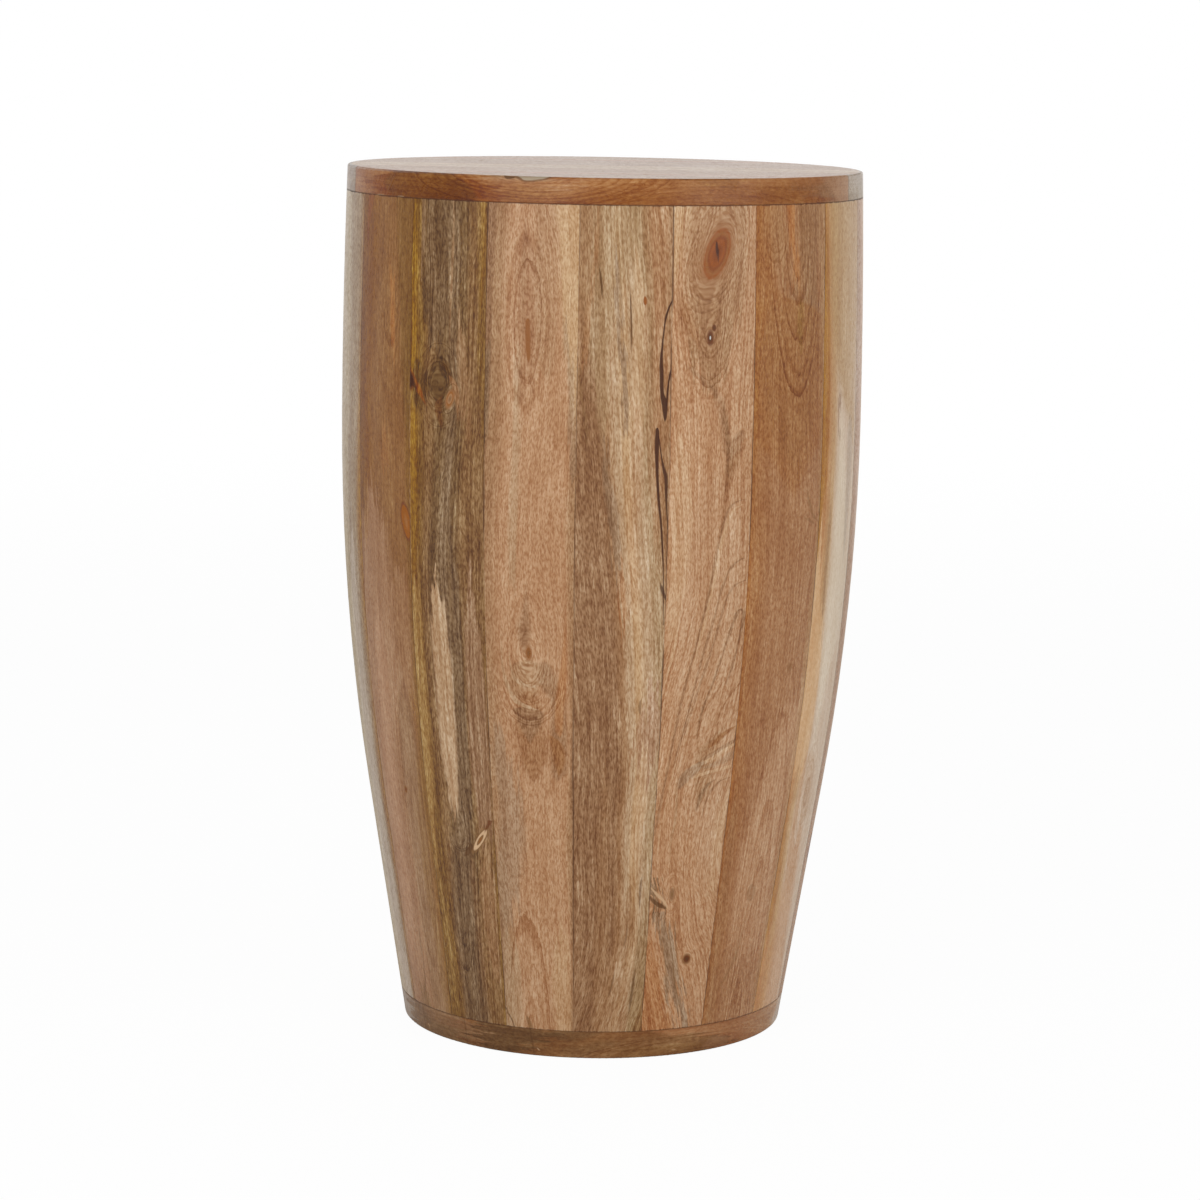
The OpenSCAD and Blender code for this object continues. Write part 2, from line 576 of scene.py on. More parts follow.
class Grain:
    """Lays one plank's pattern over a surface.

    The stripes run RAMP_HALF_MM to both sides of the middle, and SPREAD is how far
    the noise strays from its middle. FRAY_MM and FRAY_ALONG_MM are how ragged the
    streaks are, and CLEAN_SHARE is what is left of that on the clean ones. BLUNT
    keeps the grain from parting without end at an eye's middle. BROAD to TINT are
    the layers that every board has alike, and the edges say at which levels of
    noise a pore and a fleck begin and are full.
    """

    RAMP_HALF_MM = 40.0
    SPREAD = 0.12
    FRAY_MM = 7.0
    FRAY_ALONG_MM = 90.0
    CLEAN_SHARE = 0.35
    BLUNT = 0.35
    BROAD = Layer(55, 190, 0.0, detail=1.0)
    FRAY = Layer(3.2, 80, 5.3)
    CURL = Layer(3.0, 4.0, 11.9, rough=0.6, swirl=0.7)
    TINT = Layer(11, 48, 17.3)
    PORE_EDGE = (0.32, 0.68)
    FLECK_EDGE = (0.7, 1.0)
    RINGS = Rings()
    DYE = Dye()
    HEART = Heart()

    def __init__(
        self, tree: Tree, across: Field, along: Field, deep: Value, plank: Plank
    ) -> None:
        """Works out the fields that the pattern is made of.

        Args:
            tree: where the nodes go.
            across: distance over the plank, in millimetres.
            along: distance with the grain, in millimetres.
            deep: distance into the plank over its texture's scale, or a seed.
            plank: the pattern.
        """
        self.tree, self.plank, self.deep = tree, plank, deep
        # Colours painted from here on carry this plank's painted offset for light.
        tree.light_offset = plank.light_offset
        self.across, self.along = across, along
        self.polar = [self._polar(eye) for eye in plank.eyes]
        self.broad = self._layer(across, self.BROAD) - 0.5
        self.flow = self._flow()
        fibre = Layer(2.3, plank.fibre_mm, 3.1, detail=3.0, rough=0.6)
        pores = Layer(0.8, plank.pore_mm, 7.7, detail=1.0)
        self.fibre = self._layer(self.flow, fibre)
        self.fray = self._layer(self.flow, self.FRAY)
        self.pores = self._layer(self.flow, pores).fade(*self.PORE_EDGE)
        self.curl = self._layer(self.flow, self.CURL)
        self.tint = self._layer(self.flow, self.TINT)
        self.fleck = self.pores.fade(*self.FLECK_EDGE)
        self.gap: Value = 0.0

    def _layer(self, across: Field, layer: Layer) -> Field:
        """Makes one layer of the grain.

        Args:
            across: the line of grain that a point lies on.
            layer: the layer's sizes and make.

        Returns:
            The layer, from 0 to 1.
        """
        return self.tree.noise(
            across / layer.across,
            self.along / layer.along,
            self.deep + (self.plank.seed + layer.seed),
            layer.detail,
            layer.rough,
            layer.swirl,
        )

    def _polar(self, eye: Eye) -> tuple[Field, Field]:
        """Measures how far each point lies from an eye.

        Args:
            eye: the eye.

        Returns:
            The distance across in millimetres, and the distance in half sizes.
        """
        up = self.along - eye.along
        side = self.across - eye.across
        if eye.lean:
            side = side - up * eye.lean
        nx, ny = side * (1 / eye.wide), up * (1 / eye.tall)
        return side, (nx * nx + ny * ny).math("SQRT")

    def _flow(self) -> Field:
        """Follows the grain as it wanders, drifts and parts round the knots.

        Returns:
            The line of grain that each point lies on, in millimetres.
        """
        flow = self.across + self.broad * self.plank.wander
        if self.plank.drift:
            flow = flow - self.tree.curve(self.along, self.plank.drift)
        for eye, (side, far) in zip(self.plank.eyes, self.polar):
            if eye.part:
                flow = flow - side * eye.part / (far * far + self.BLUNT)
        return flow

    def _cover(self, streak: Streak) -> Field:
        """Gives how strongly a streak covers each point.

        Args:
            streak: the streak.

        Returns:
            Its cover from 0 to 1.
        """
        across, along = self.across, self.along
        if streak.edge is Edge.FRAYED:
            across = across + (self.fray - 0.5) * self.FRAY_MM
            along = along + (self.fibre - 0.5) * self.FRAY_ALONG_MM
        else:
            across = across + (self.fray - 0.5) * (self.FRAY_MM * self.CLEAN_SHARE)
        path = self.tree.curve(along, tuple((place, middle) for place, middle, _ in streak.line))
        half = self.tree.curve(along, tuple((place, wide) for place, _, wide in streak.line))
        cover = (half - abs(across - path)).fade(0.0, streak.soft, 0.0, streak.cover)
        (start, _, first), (stop, _, last) = streak.line[0], streak.line[-1]
        # An end that isn't drawn to a point is cut off square.
        if first > 0 and start > 0:
            cover = cover * self.along.math("GREATER_THAN", start)
        if last > 0:
            cover = cover * self.along.math("LESS_THAN", stop)
        return cover

    def _rings(self) -> Field | None:
        """Draws the growth rings of every eye that has them.

        Returns:
            How much they deepen the tone, or None where there are none.
        """
        total = None
        rings, noise = self.RINGS, self.tree.line_noise
        wobble = (
            (self.fray - 0.5) * rings.fray_wobble
            + self.broad * rings.broad_wobble
            + (self.curl - 0.5) * rings.curl_wobble
        )
        for eye, (_, far) in zip(self.plank.eyes, self.polar):
            if not eye.gap:
                continue
            turns = far * (eye.wide / eye.gap) + self.plank.seed * rings.seed_turns
            turns = turns + wobble + noise(turns * rings.bunching) * rings.shift
            strength = noise(turns * rings.strength_pace + rings.strength_seed)
            strength = strength.fade(*rings.strength_edge, rings.faintest, 1.0)
            late = turns.math("FRACT").fade(rings.late_wood, 1.0)
            reach = far.fade(eye.reach * rings.ending, eye.reach, eye.depth, 0.0)
            part = (late * strength - rings.middle) * reach
            if eye.start:
                part = part * far.fade(eye.start * rings.beginning, eye.start)
            if eye.below:
                top = eye.along + eye.tall * rings.crown
                part = part * self.along.fade(top - eye.tall, top, 1.0, 0.0)
            total = part if total is None else total + part
        return total

    def _dye(self) -> Field:
        """Adds up everything that deepens or lightens the wood's tone.

        Returns:
            The power that the colour is raised to, 1 where nothing changes.
        """
        plank, dye, spread = self.plank, self.DYE, self.SPREAD
        threads = self.tree.line_noise(self.flow / dye.thread_mm + self.tint * dye.thread_drift)
        level = dye.level - plank.fleck * dye.fleck_lift - plank.lines * dye.lines_lift
        total = (
            (self.fibre - 0.5) * (plank.fibre / spread)
            + (self.curl - 0.5) * (plank.curl / spread)
            + (self.tint - 0.5) * (plank.cloud / spread)
            + (self.pores - 0.5) * (plank.fleck * dye.pores)
            + self.fleck * (plank.fleck * dye.flecks)
            + abs(threads - 0.5).fade(0.0, dye.thread_width, 1.0, 0.0)
            * self.fray.fade(*dye.thread_gate, dye.faintest, plank.lines)
            + level
        )
        rings = self._rings()
        return total if rings is None else total + rings

    def colour(self) -> Field:
        """Gives the wood's colour with its knots and cracks, and keeps the cracks' depth.

        Returns:
            The colour.
        """
        tree, plank, core = self.tree, self.plank, self.HEART
        colour, _ = tree.ramp(self.flow, -self.RAMP_HALF_MM, self.RAMP_HALF_MM, plank.stripes)
        for streak in plank.streaks:
            if streak.edge is not Edge.CRACK:
                colour = tree.mix(self._cover(streak), colour, tree.paint(streak.tone))
        colour = tree.output("ShaderNodeGamma", {}, {"Color": colour, "Gamma": self._dye()})
        for eye, (_, far) in zip(plank.eyes, self.polar):
            if eye.core:
                edge = far + (self.fray - 0.5) * core.fray
                heart, cover = tree.ramp(edge, 0.0, core.reach, eye.core)
                heart = tree.scale(heart, (self.curl - 0.5) * core.mottle + 1.0)
                colour = tree.mix(cover, colour, heart)
        for streak in plank.streaks:
            if streak.edge is Edge.CRACK:
                cover = self._cover(streak)
                colour = tree.mix(cover, colour, tree.paint(streak.tone))
                self.gap = cover + self.gap
        return colour

    def surface(self, colour: Field, joint: Field, lacquer: Lacquer) -> None:
        """Joins the pattern to a lacquered surface.

        Args:
            colour: the wood's colour.
            joint: how deep the point lies in a joint, from 0 to 1.
            lacquer: the finish over it.
        """
        rough = (
            (0.5 - self.fibre) * lacquer.ripple
            + self.fleck * lacquer.open_grain
            + joint * lacquer.dull_joint
            + (self.tint - 0.5) * lacquer.cloud
            + lacquer.gloss
        )
        height = (
            self.fibre * lacquer.fibre_rise
            - self.fleck * lacquer.pore_drop
            - self.gap * lacquer.crack_drop
            - joint * lacquer.joint_drop
        )
        black = self.tree.paint(Tone.BLACK)
        sockets = {
            "Base Color": self.tree.mix(joint, colour, black),
            "Roughness": rough,
            "IOR": lacquer.ior,
        }
        self.tree.surface(sockets, height, lacquer.relief, lacquer.relief_mm)


def new_tree(name: str) -> tuple[bpy.types.Material, Tree]:
    """Makes an empty material.

    Args:
        name: its name.

    Returns:
        The material and the tree that builds it.
    """
    material = bpy.data.materials.new(name)
    material.use_nodes = True
    return material, Tree(material.node_tree)


def place_of(tree: Tree) -> tuple[Field, ...]:
    """Gives the point on the table, in millimetres from the middle of its foot."""
    point = tree.output("ShaderNodeTexCoord", name="Object")
    return tuple(part * (1 / MM) for part in tree.parts(point))


def dress(node: bpy.types.Object, material: bpy.types.Material) -> None:
    """Gives a piece its finish.

    Args:
        node: the piece.
        material: the finish.
    """
    node.data.materials.clear()
    node.data.materials.append(material)
    LOG.info("%s: %s", node.name, material.name)


# ---------------------------------------------------------------- staves


@dataclass
class StaveRing:
    """The ring of eighteen staves that makes the table's wall.

    The joint fields say how wide the line along a stave's edge is, how far it goes
    over it and how dark it is, and the end fields the same for its two ends.
    """

    frame: Mapping[str, object]
    planks: Sequence[Plank]
    belly_mm: float = 169.0
    depth_mm: float = 160.0
    ragged_mm: float = 2.2
    joint_mm: tuple[float, float] = (0.55, 0.2)
    joint_cover: float = 0.75
    end_ragged: float = 0.6
    end_mm: tuple[float, float] = (0.6, 0.1)
    end_cover: float = 0.7
    lacquer: Lacquer = field(default_factory=Lacquer)

    def build(self) -> None:
        """Dresses every stave in its own plank."""
        for number, plank in enumerate(self.planks, 1):
            name = f"stave_{number:02d}"
            stave = self.frame["nodes"][name]
            middle, half = self._wedge(stave)
            dress(stave, self._material(name, middle, half, plank))

    def _wedge(self, stave: bpy.types.Object) -> tuple[float, float]:
        """Measures a stave from its corners.

        Args:
            stave: the stave.

        Returns:
            The angle of its middle from the front and half its angle, in radians.
        """
        middle = sum((vertex.co for vertex in stave.data.vertices), Vector())
        toward = math.atan2(middle.x, -middle.y)
        turn = Matrix.Rotation(-toward, 3, "Z")
        spots = (turn @ vertex.co for vertex in stave.data.vertices)
        angles = [math.atan2(spot.x, -spot.y) for spot in spots]
        low, high = min(angles), max(angles)
        return toward + (low + high) / 2, (high - low) / 2

    def _material(
        self, name: str, middle: float, half: float, plank: Plank
    ) -> bpy.types.Material:
        """Makes one stave's material.

        Args:
            name: the stave's name.
            middle: the angle of its middle from the front, in radians.
            half: half its angle.
            plank: its pattern.

        Returns:
            The material.
        """
        material, tree = new_tree(f"{name}_wood")
        x, y, z = place_of(tree)
        right = x * math.cos(middle) + y * math.sin(middle)
        out = x * math.sin(middle) - y * math.cos(middle)
        angle = right.math("ARCTAN2", out)
        grain = Grain(tree, angle * self.belly_mm, z, out / self.depth_mm, plank)
        colour = grain.colour()
        ragged = (grain.fray - 0.5) * self.ragged_mm
        edge = half * self.belly_mm
        inner, outer = self.joint_mm
        joint = (abs(angle) * self.belly_mm + ragged).fade(
            edge - inner, edge + outer, 0.0, self.joint_cover
        )
        low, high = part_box(name)
        level, reach = (low.z + high.z) / 2 / MM, (high.z - low.z) / 2 / MM
        start, stop = self.end_mm
        ends = (abs(z - level) + ragged * self.end_ragged).fade(
            reach - start, reach - stop, 0.0, self.end_cover
        )
        grain.surface(colour, joint.math("MAXIMUM", ends), self.lacquer)
        return material


# ---------------------------------------------------------------- top and base


@dataclass
class Slab:
    """A round slab of edge-joined boards, the top or the base.

    turn is how far the boards are turned, and joints are where they meet, across
    them. radius_mm is the rim's radius at half its height and flare_mm how much it
    grows for each millimetre up. heart_mm is how far beside and under a board the
    middle of its growth rings lies. rims holds the pattern of the rim of the boards
    that have their own: there, along runs round the rim from the front and across
    runs up it from its middle.

    The seat is the line where the slab meets the wall. For it and for the joints,
    a pair says how far off the dark line begins and ends to fade.
    """

    frame: Mapping[str, object]
    slot: str
    boards: Mapping[str, Plank]
    rims: Mapping[str, Plank]
    turn: float
    joints: tuple[float, ...]
    radius_mm: float
    flare_mm: float
    heart_mm: tuple[float, float]
    under_wall: bool = False
    seat_cover: float = 0.65
    seat_mm: tuple[float, float] = (0.2, 0.8)
    joint_cover: float = 0.35
    joint_mm: tuple[float, float] = (0.1, 0.7)
    ragged_mm: float = 0.7
    rim_inset_mm: tuple[float, float] = (3.0, 2.0)
    flat_share: float = 0.4
    depth_mm: float = 90.0
    lacquer: Lacquer = field(default_factory=Lacquer)

    def build(self) -> None:
        """Dresses every board."""
        for name, plank in self.boards.items():
            dress(self.frame["nodes"][name], self._material(name, plank))

    def _middle(self, name: str, turn: float) -> float:
        """Measures how far a board's middle lies across the slab.

        Args:
            name: the board's name.
            turn: how far the boards are turned, in radians.

        Returns:
            The distance in millimetres.
        """
        sides = [
            (vertex.co.y * math.cos(turn) - vertex.co.x * math.sin(turn)) / MM
            for vertex in self.frame["nodes"][name].data.vertices
        ]
        return (min(sides) + max(sides)) / 2

    def _across(self, span: Field, rise: Field) -> Field:
        """Gives where a point lies across a board whose growth rings bend round.

        Args:
            span: the distance across from the board's middle.
            rise: the distance up from it.

        Returns:
            The distance across the grain.
        """
        off, deep = self.heart_mm
        span, climb = span + off, rise + deep
        ring = (span * span + climb * climb).math("SQRT") - math.hypot(off, deep)
        return ring + (span - off) * self.flat_share

    def _rimmed(self, tree: Tree, colour: Field, place: Sequence[Field], plank: Plank) -> Field:
        """Lays the rim's own pattern over a board's colour.

        Args:
            tree: where the nodes go.
            colour: the board's colour.
            place: the point, with its height from the middle of the rim.
            plank: the rim's pattern.

        Returns:
            The colour with the rim.
        """
        x, y, rise = place
        start, stop = self.rim_inset_mm
        reach = (x * x + y * y).math("SQRT") - rise * self.flare_mm
        round_mm = x.math("ARCTAN2", y * -1) * self.radius_mm
        # The rim's colours carry their own painted offset for the light on the rim, apart from the face's.
        rim = Grain(tree, rise, round_mm, 0.0, plank)
        edge = reach.fade(self.radius_mm - start, self.radius_mm - stop)
        return tree.mix(edge, colour, rim.colour())

    def _material(self, name: str, plank: Plank) -> bpy.types.Material:
        """Makes one board's material.

        Args:
            name: the board's name.
            plank: its pattern.

        Returns:
            The material.
        """
        material, tree = new_tree(f"{name}_wood")
        x, y, z = place_of(tree)
        low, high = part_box(name)
        rise = z - (low.z + high.z) / 2 / MM
        turn = math.radians(self.turn)
        along = x * math.cos(turn) + y * math.sin(turn)
        side = y * math.cos(turn) - x * math.sin(turn)
        across = self._across(side - self._middle(name, turn), rise)
        grain = Grain(tree, across, along, side / self.depth_mm, plank)
        colour = grain.colour()
        if name in self.rims:
            colour = self._rimmed(tree, colour, (x, y, rise), self.rims[name])
        ragged = (grain.fray - 0.5) * self.ragged_mm
        seat = (high.z if self.under_wall else low.z) / MM
        joint = abs(z - seat + ragged).fade(*self.seat_mm, self.seat_cover, 0.0)
        for place in self.joints:
            line = abs(side - place + ragged)
            joint = line.fade(*self.joint_mm, self.joint_cover, 0.0) + joint
        grain.surface(colour, joint, self.lacquer)
        return material


# ---------------------------------------------------------------- inside pieces


@dataclass(frozen=True)
class Plywood:
    """Birch plywood of the two discs that the staves are fixed to."""

    ply_mm: float = 1.5
    ply_edge: tuple[float, float] = (0.4, 0.6)
    fibre_mm: Triple = (2.5, 60.0, 9.0)
    fibre_depth: float = 0.3
    cloud_mm: tuple[float, float] = (45.0, 70.0)
    cloud_seed: float = 3.0
    cloud_depth: float = 0.2
    roughness: float = 0.65
    ripple: float = 0.2
    relief: float = 0.4
    relief_mm: float = 0.1

    def material(self, name: str) -> bpy.types.Material:
        """Makes the layered wood.

        Args:
            name: the material's name.

        Returns:
            The material.
        """
        material, tree = new_tree(name)
        x, y, z = place_of(tree)
        layer = (z / self.ply_mm).math("FRACT").fade(*self.ply_edge)
        places = (part / size for part, size in zip((x, y, z), self.fibre_mm))
        fibre = tree.noise(*places, detail=4.0, rough=0.6)
        wide, tall = self.cloud_mm
        cloud = tree.noise(x / wide, y / tall, self.cloud_seed, detail=2.0)
        level = (fibre - 0.5) * self.fibre_depth + (cloud - 0.5) * self.cloud_depth + 1.0
        plies = tree.mix(layer, tree.paint(Tone.PALE), tree.paint(Tone.TAN))
        rough = (fibre - 0.5) * self.ripple + self.roughness
        sockets = {"Base Color": tree.scale(plies, level), "Roughness": rough}
        tree.surface(sockets, fibre, self.relief, self.relief_mm)
        return material


@dataclass(frozen=True)
class ZincSteel:
    """Yellowish zinc on the wood screws, clouded duller and brighter at random."""

    tone: Colour = (0.62, 0.57, 0.45, 1.0)
    dull: Colour = (0.40, 0.36, 0.27, 1.0)
    cloud_mm: float = 3.0
    cloud_edge: tuple[float, float] = (0.35, 0.65)
    scuff_mm: float = 0.5
    roughness: float = 0.2
    cloud_rough: float = 0.2
    scuff_rough: float = 0.15
    relief: float = 0.3
    relief_mm: float = 0.05

    def material(self, name: str) -> bpy.types.Material:
        """Makes the plated steel.

        Args:
            name: the material's name.

        Returns:
            The material.
        """
        material, tree = new_tree(name)
        place = place_of(tree)
        clouds = (part / self.cloud_mm for part in place)
        cloud = tree.noise(*clouds, detail=3.0, rough=0.6)
        scuffs = (part / self.scuff_mm for part in place)
        scuff = tree.noise(*scuffs, detail=3.0, rough=0.7)
        sockets = {
            "Base Color": tree.mix(cloud.fade(*self.cloud_edge), self.dull, self.tone),
            "Metallic": 1.0,
            "Roughness": cloud * self.cloud_rough + scuff * self.scuff_rough + self.roughness,
        }
        tree.surface(sockets, scuff, self.relief, self.relief_mm)
        return material


@dataclass
class Inside:
    """The discs and screws that hold the wall, the top and the base together."""

    frame: Mapping[str, object]

    def build(self) -> None:
        """Dresses the discs and the screws."""
        plywood = Plywood().material("former_plywood")
        steel = ZincSteel().material("zinc_steel")
        for name in ("upper_former", "lower_former"):
            dress(self.frame["nodes"][name], plywood)
        for name in ("top_screws", "base_screws"):
            dress(self.frame["nodes"][name], steel)


# ---------------------------------------------------------------- studio


@dataclass(frozen=True)
class Lamp:
    """A soft lamp: its place and its width and height in metres, and its watts."""

    name: str
    place: Triple
    size: tuple[float, float]
    power: float

    def build(self, aim: Triple) -> None:
        """Adds the lamp.

        Args:
            aim: the point that it shines at, in metres.
        """
        data = bpy.data.lights.new(self.name, "AREA")
        data.shape = "RECTANGLE"
        data.size, data.size_y = self.size
        data.energy = self.power
        lamp = bpy.data.objects.new(self.name, data)
        bpy.context.scene.collection.objects.link(lamp)
        lamp.location = self.place
        way = Vector(aim) - Vector(self.place)
        lamp.rotation_euler = way.to_track_quat("-Z", "Y").to_euler()


@dataclass(frozen=True)
class Paper:
    """The floor's paper, white to the camera and glowing toward the backdrop."""

    dark: Colour = (0.89, 0.89, 0.89, 1.0)
    pale: Colour = (0.91, 0.91, 0.91, 1.0)
    cloud_mm: float = 300.0
    cloud_seed: float = 1.0
    cloud_edge: tuple[float, float] = (0.3, 0.7)
    back_mm: tuple[float, float] = (1300.0, 3400.0)
    near_glow: float = 0.96
    roughness: float = 0.9

    def material(self, name: str) -> bpy.types.Material:
        """Makes the paper.

        Args:
            name: the material's name.

        Returns:
            The material.
        """
        material, tree = new_tree(name)
        x, y, _ = place_of(tree)
        cloud = tree.noise(x / self.cloud_mm, y / self.cloud_mm, self.cloud_seed, detail=2.0)
        bright = y.fade(*self.back_mm)
        shade = tree.mix(cloud.fade(*self.cloud_edge), self.dark, self.pale)
        sockets = {"Base Color": shade, "Roughness": self.roughness, "Specular IOR Level": 0.0}
        paper = tree.output("ShaderNodeBsdfPrincipled", {}, sockets)
        glow = tree.output("ShaderNodeEmission", {}, {"Strength": 1.0})
        camera, mirrored = ray_kinds(tree)
        near = bright * (1 - self.near_glow) + self.near_glow
        shares = {0: camera * near + mirrored * bright, 1: paper, 2: glow}
        mixed = tree.output("ShaderNodeMixShader", {}, shares)
        tree.node("ShaderNodeOutputMaterial", {}, {"Surface": mixed})
        return material


def ray_kinds(tree: Tree) -> tuple[Field, Field]:
    """Tells the kinds of rays apart.

    Args:
        tree: where the nodes go.

    Returns:
        1 for rays from the camera, and 1 for mirrored or refracted rays.
    """
    path = tree.node("ShaderNodeLightPath")
    names = ("Is Camera Ray", "Is Glossy Ray", "Is Transmission Ray")
    camera, glossy, through = (Field(tree, path.outputs[name]) for name in names)
    return camera, glossy.math("MAXIMUM", through)


@dataclass
class Studio:
    """A white studio: pale floor, bright backdrop, soft lamps and the camera.

    The levels are how bright the surroundings are on each side, and a turn says
    between which directions, from -1 in front to 1 behind, one becomes the next.
    """

    front_level: float = 0.35
    side_level: float = 0.45
    back_level: float = 1.25
    front_turn: tuple[float, float] = (-0.6, 0.1)
    back_turn: tuple[float, float] = (0.35, 1.0)
    lamps: tuple[Lamp, ...] = (
        Lamp("key_lamp", (-1.3, -2.1, 1.35), (2.0, 1.6), 36.5),
        Lamp("fill_lamp", (1.9, -1.6, 1.2), (1.8, 1.8), 23.5),
    )
    aim: Triple = (0.0, 0.0, 0.3)
    floor_reach: float = 12.0
    floor_drop: float = 0.0002
    camera_mm: Triple = (1.128, -2500.8, 662.25)
    pitch: float = 8.769
    roll: float = 0.95
    sensor_mm: float = 36.0
    lens_mm: float = 115.395
    clip: tuple[float, float] = (0.05, 60.0)

    def build(self) -> None:
        """Makes the floor, the surroundings, the lamps and the camera."""
        self._floor()
        self._world()
        for lamp in self.lamps:
            lamp.build(self.aim)
        self._camera()

    def _floor(self) -> None:
        """Lays a wide pale floor that stays white to the camera."""
        mesh = bpy.data.meshes.new("floor")
        far = self.floor_reach
        corners = [(-far, -far, 0), (far, -far, 0), (far, far, 0), (-far, far, 0)]
        mesh.from_pydata(corners, [], [(0, 1, 2, 3)])
        floor = bpy.data.objects.new("floor", mesh)
        bpy.context.scene.collection.objects.link(floor)
        floor.location.z = -self.floor_drop
        mesh.materials.append(Paper().material("floor_paper"))

    def _world(self) -> None:
        """Lights the table from all round, brightest from behind."""
        world = bpy.data.worlds.new("studio")
        bpy.context.scene.world = world
        world.use_nodes = True
        tree = Tree(world.node_tree)
        _, back, _ = tree.parts(tree.output("ShaderNodeTexCoord", name="Generated"))
        camera, _ = ray_kinds(tree)
        rise = self.back_level - self.side_level
        level = back.fade(*self.front_turn, self.front_level, self.side_level)
        level = level + back.fade(*self.back_turn, 0.0, rise)
        level = camera + (1 - camera) * level
        sockets = {"Color": (1, 1, 1, 1), "Strength": level}
        light = tree.output("ShaderNodeBackground", {}, sockets)
        tree.node("ShaderNodeOutputWorld", {}, {"Surface": light})

    def _camera(self) -> None:
        """Sets up the camera."""
        data = bpy.data.cameras.new("camera")
        data.sensor_width = self.sensor_mm
        data.lens = self.lens_mm
        data.clip_start, data.clip_end = self.clip
        camera = bpy.data.objects.new("camera", data)
        bpy.context.scene.collection.objects.link(camera)
        pitch, roll = math.radians(self.pitch), math.radians(self.roll)
        side = Vector((1, 0, 0))
        up = Vector((0, math.sin(pitch), math.cos(pitch)))
        ahead = Vector((0, math.cos(pitch), -math.sin(pitch)))
        right = side * math.cos(roll) + up * math.sin(roll)
        top = up * math.cos(roll) - side * math.sin(roll)
        facing = Matrix((right, top, -ahead)).transposed().to_4x4()
        camera.matrix_world = Matrix.Translation(Vector(self.camera_mm) * MM) @ facing
        bpy.context.scene.camera = camera
        bpy.context.scene.view_settings.view_transform = "Standard"


# ---------------------------------------------------------------- patterns of the boards

# In each plank, the pair of the reflection and the light where it stands paints its colours darker or
# lighter to offset them: painted light and shade.
# A short name, because the patterns below use it in every line.
T = Tone

# Red-brown, pinker and paler below.
STAVE_01 = Plank(
    seed=1.0, light_offset=(0.036, 0.86),
    stripes=(
        (-30, T.TEAK), (-16, T.COCOA), (-4, T.CEDAR), (8, T.CEDAR), (16, T.CEDAR), (24, T.CEDAR),
        (29, T.UMBER),
    ),
    streaks=(
        vein(
            T.ROSE, 0.85, 12, (18, -16, 26), (90, -18, 28), (180, -12, 30), (250, -12, 28), (300, -12, 26),
            (330, -12, 22), (365, -10, 0),
        ),
        vein(T.PINK, 0.6, 8, (40, -20, 0), (90, -18, 12), (200, -14, 13), (255, -10, 10), (290, -10, 0)),
        vein(T.BROWN, 0.6, 5, (120, 4, 0), (180, 6, 9), (235, 13, 8), (280, 19, 0)),
        vein(T.BROWN, 0.45, 6, (95, 4, 0), (120, 3, 8), (140, 4, 0)),
        patch(T.ASH, 0.55, 6, (18, 16, 14), (100, 14, 14), (200, 14, 12), (262, 12, 0)),
        vein(T.OLIVE, 0.35, 4, (18, 26, 6), (60, 24, 7), (110, 21, 8), (165, 23, 6), (205, 25, 0)),
        vein(T.ROSE, 0.45, 6, (222, 15, 0), (248, 15, 14), (288, 15, 14), (315, 17, 0)),
        vein(T.MUSTARD, 0.25, 5, (322, -22, 0), (340, -21, 6), (360, -20, 0)),
        vein(T.MUSTARD, 0.25, 3, (395, -16, 0), (408, -17, 3), (425, -15, 0)),
        vein(T.ORANGE, 0.6, 3, (440, 13, 0), (455, 12, 3), (478, 10, 3.5), (500, 5, 0)),
        vein(T.RUSSET, 0.5, 5, (370, 4, 0), (385, 4, 7), (400, 3, 0)),
        vein(T.EARTH, 0.6, 5, (385, 26, 0), (430, 26, 7), (480, 24, 9), (544, 22, 12)),
        vein(T.COCOA, 0.6, 1.5, (516, -5, 0), (526, -5, 1.6), (544, -6, 2)),
        vein(T.RED, 0.35, 4, (518, -24, 0), (527, -21, 4), (544, -17, 5)),
        vein(T.SMOKE, 0.75, 1.2, (42, -4, 0), (50, -3.5, 1.7), (58, -3, 1.5), (68, -3, 0)),
        vein(T.EARTH, 0.7, 6, (18, -8, 12), (26, -8, 9), (37, -7, 0)),
    ),
    eyes=(
        Eye(
            342, 26, 11, 4.2, -0.2,
            core=(
                (0, T.RUSSET), (0.6, T.CHESTNUT), (0.85, T.CHESTNUT), (1.0, T.WINE, 0.6), (1.3, T.COCOA, 0),
            ),
            part=0.7,
        ),
        Eye(486, 9, 52, 13, gap=3.4, reach=1.5, depth=0.28, start=0.4, below=True),
        Eye(150, 14, 130, 16, gap=4.0, reach=1.3, depth=0.24),
        Eye(166, 5, 2.2, 1.5, core=((0, T.WINE), (0.8, T.COCOA), (1.5, T.BROWN, 0))),
    ),
    fleck=0.03, lines=0.06,
)

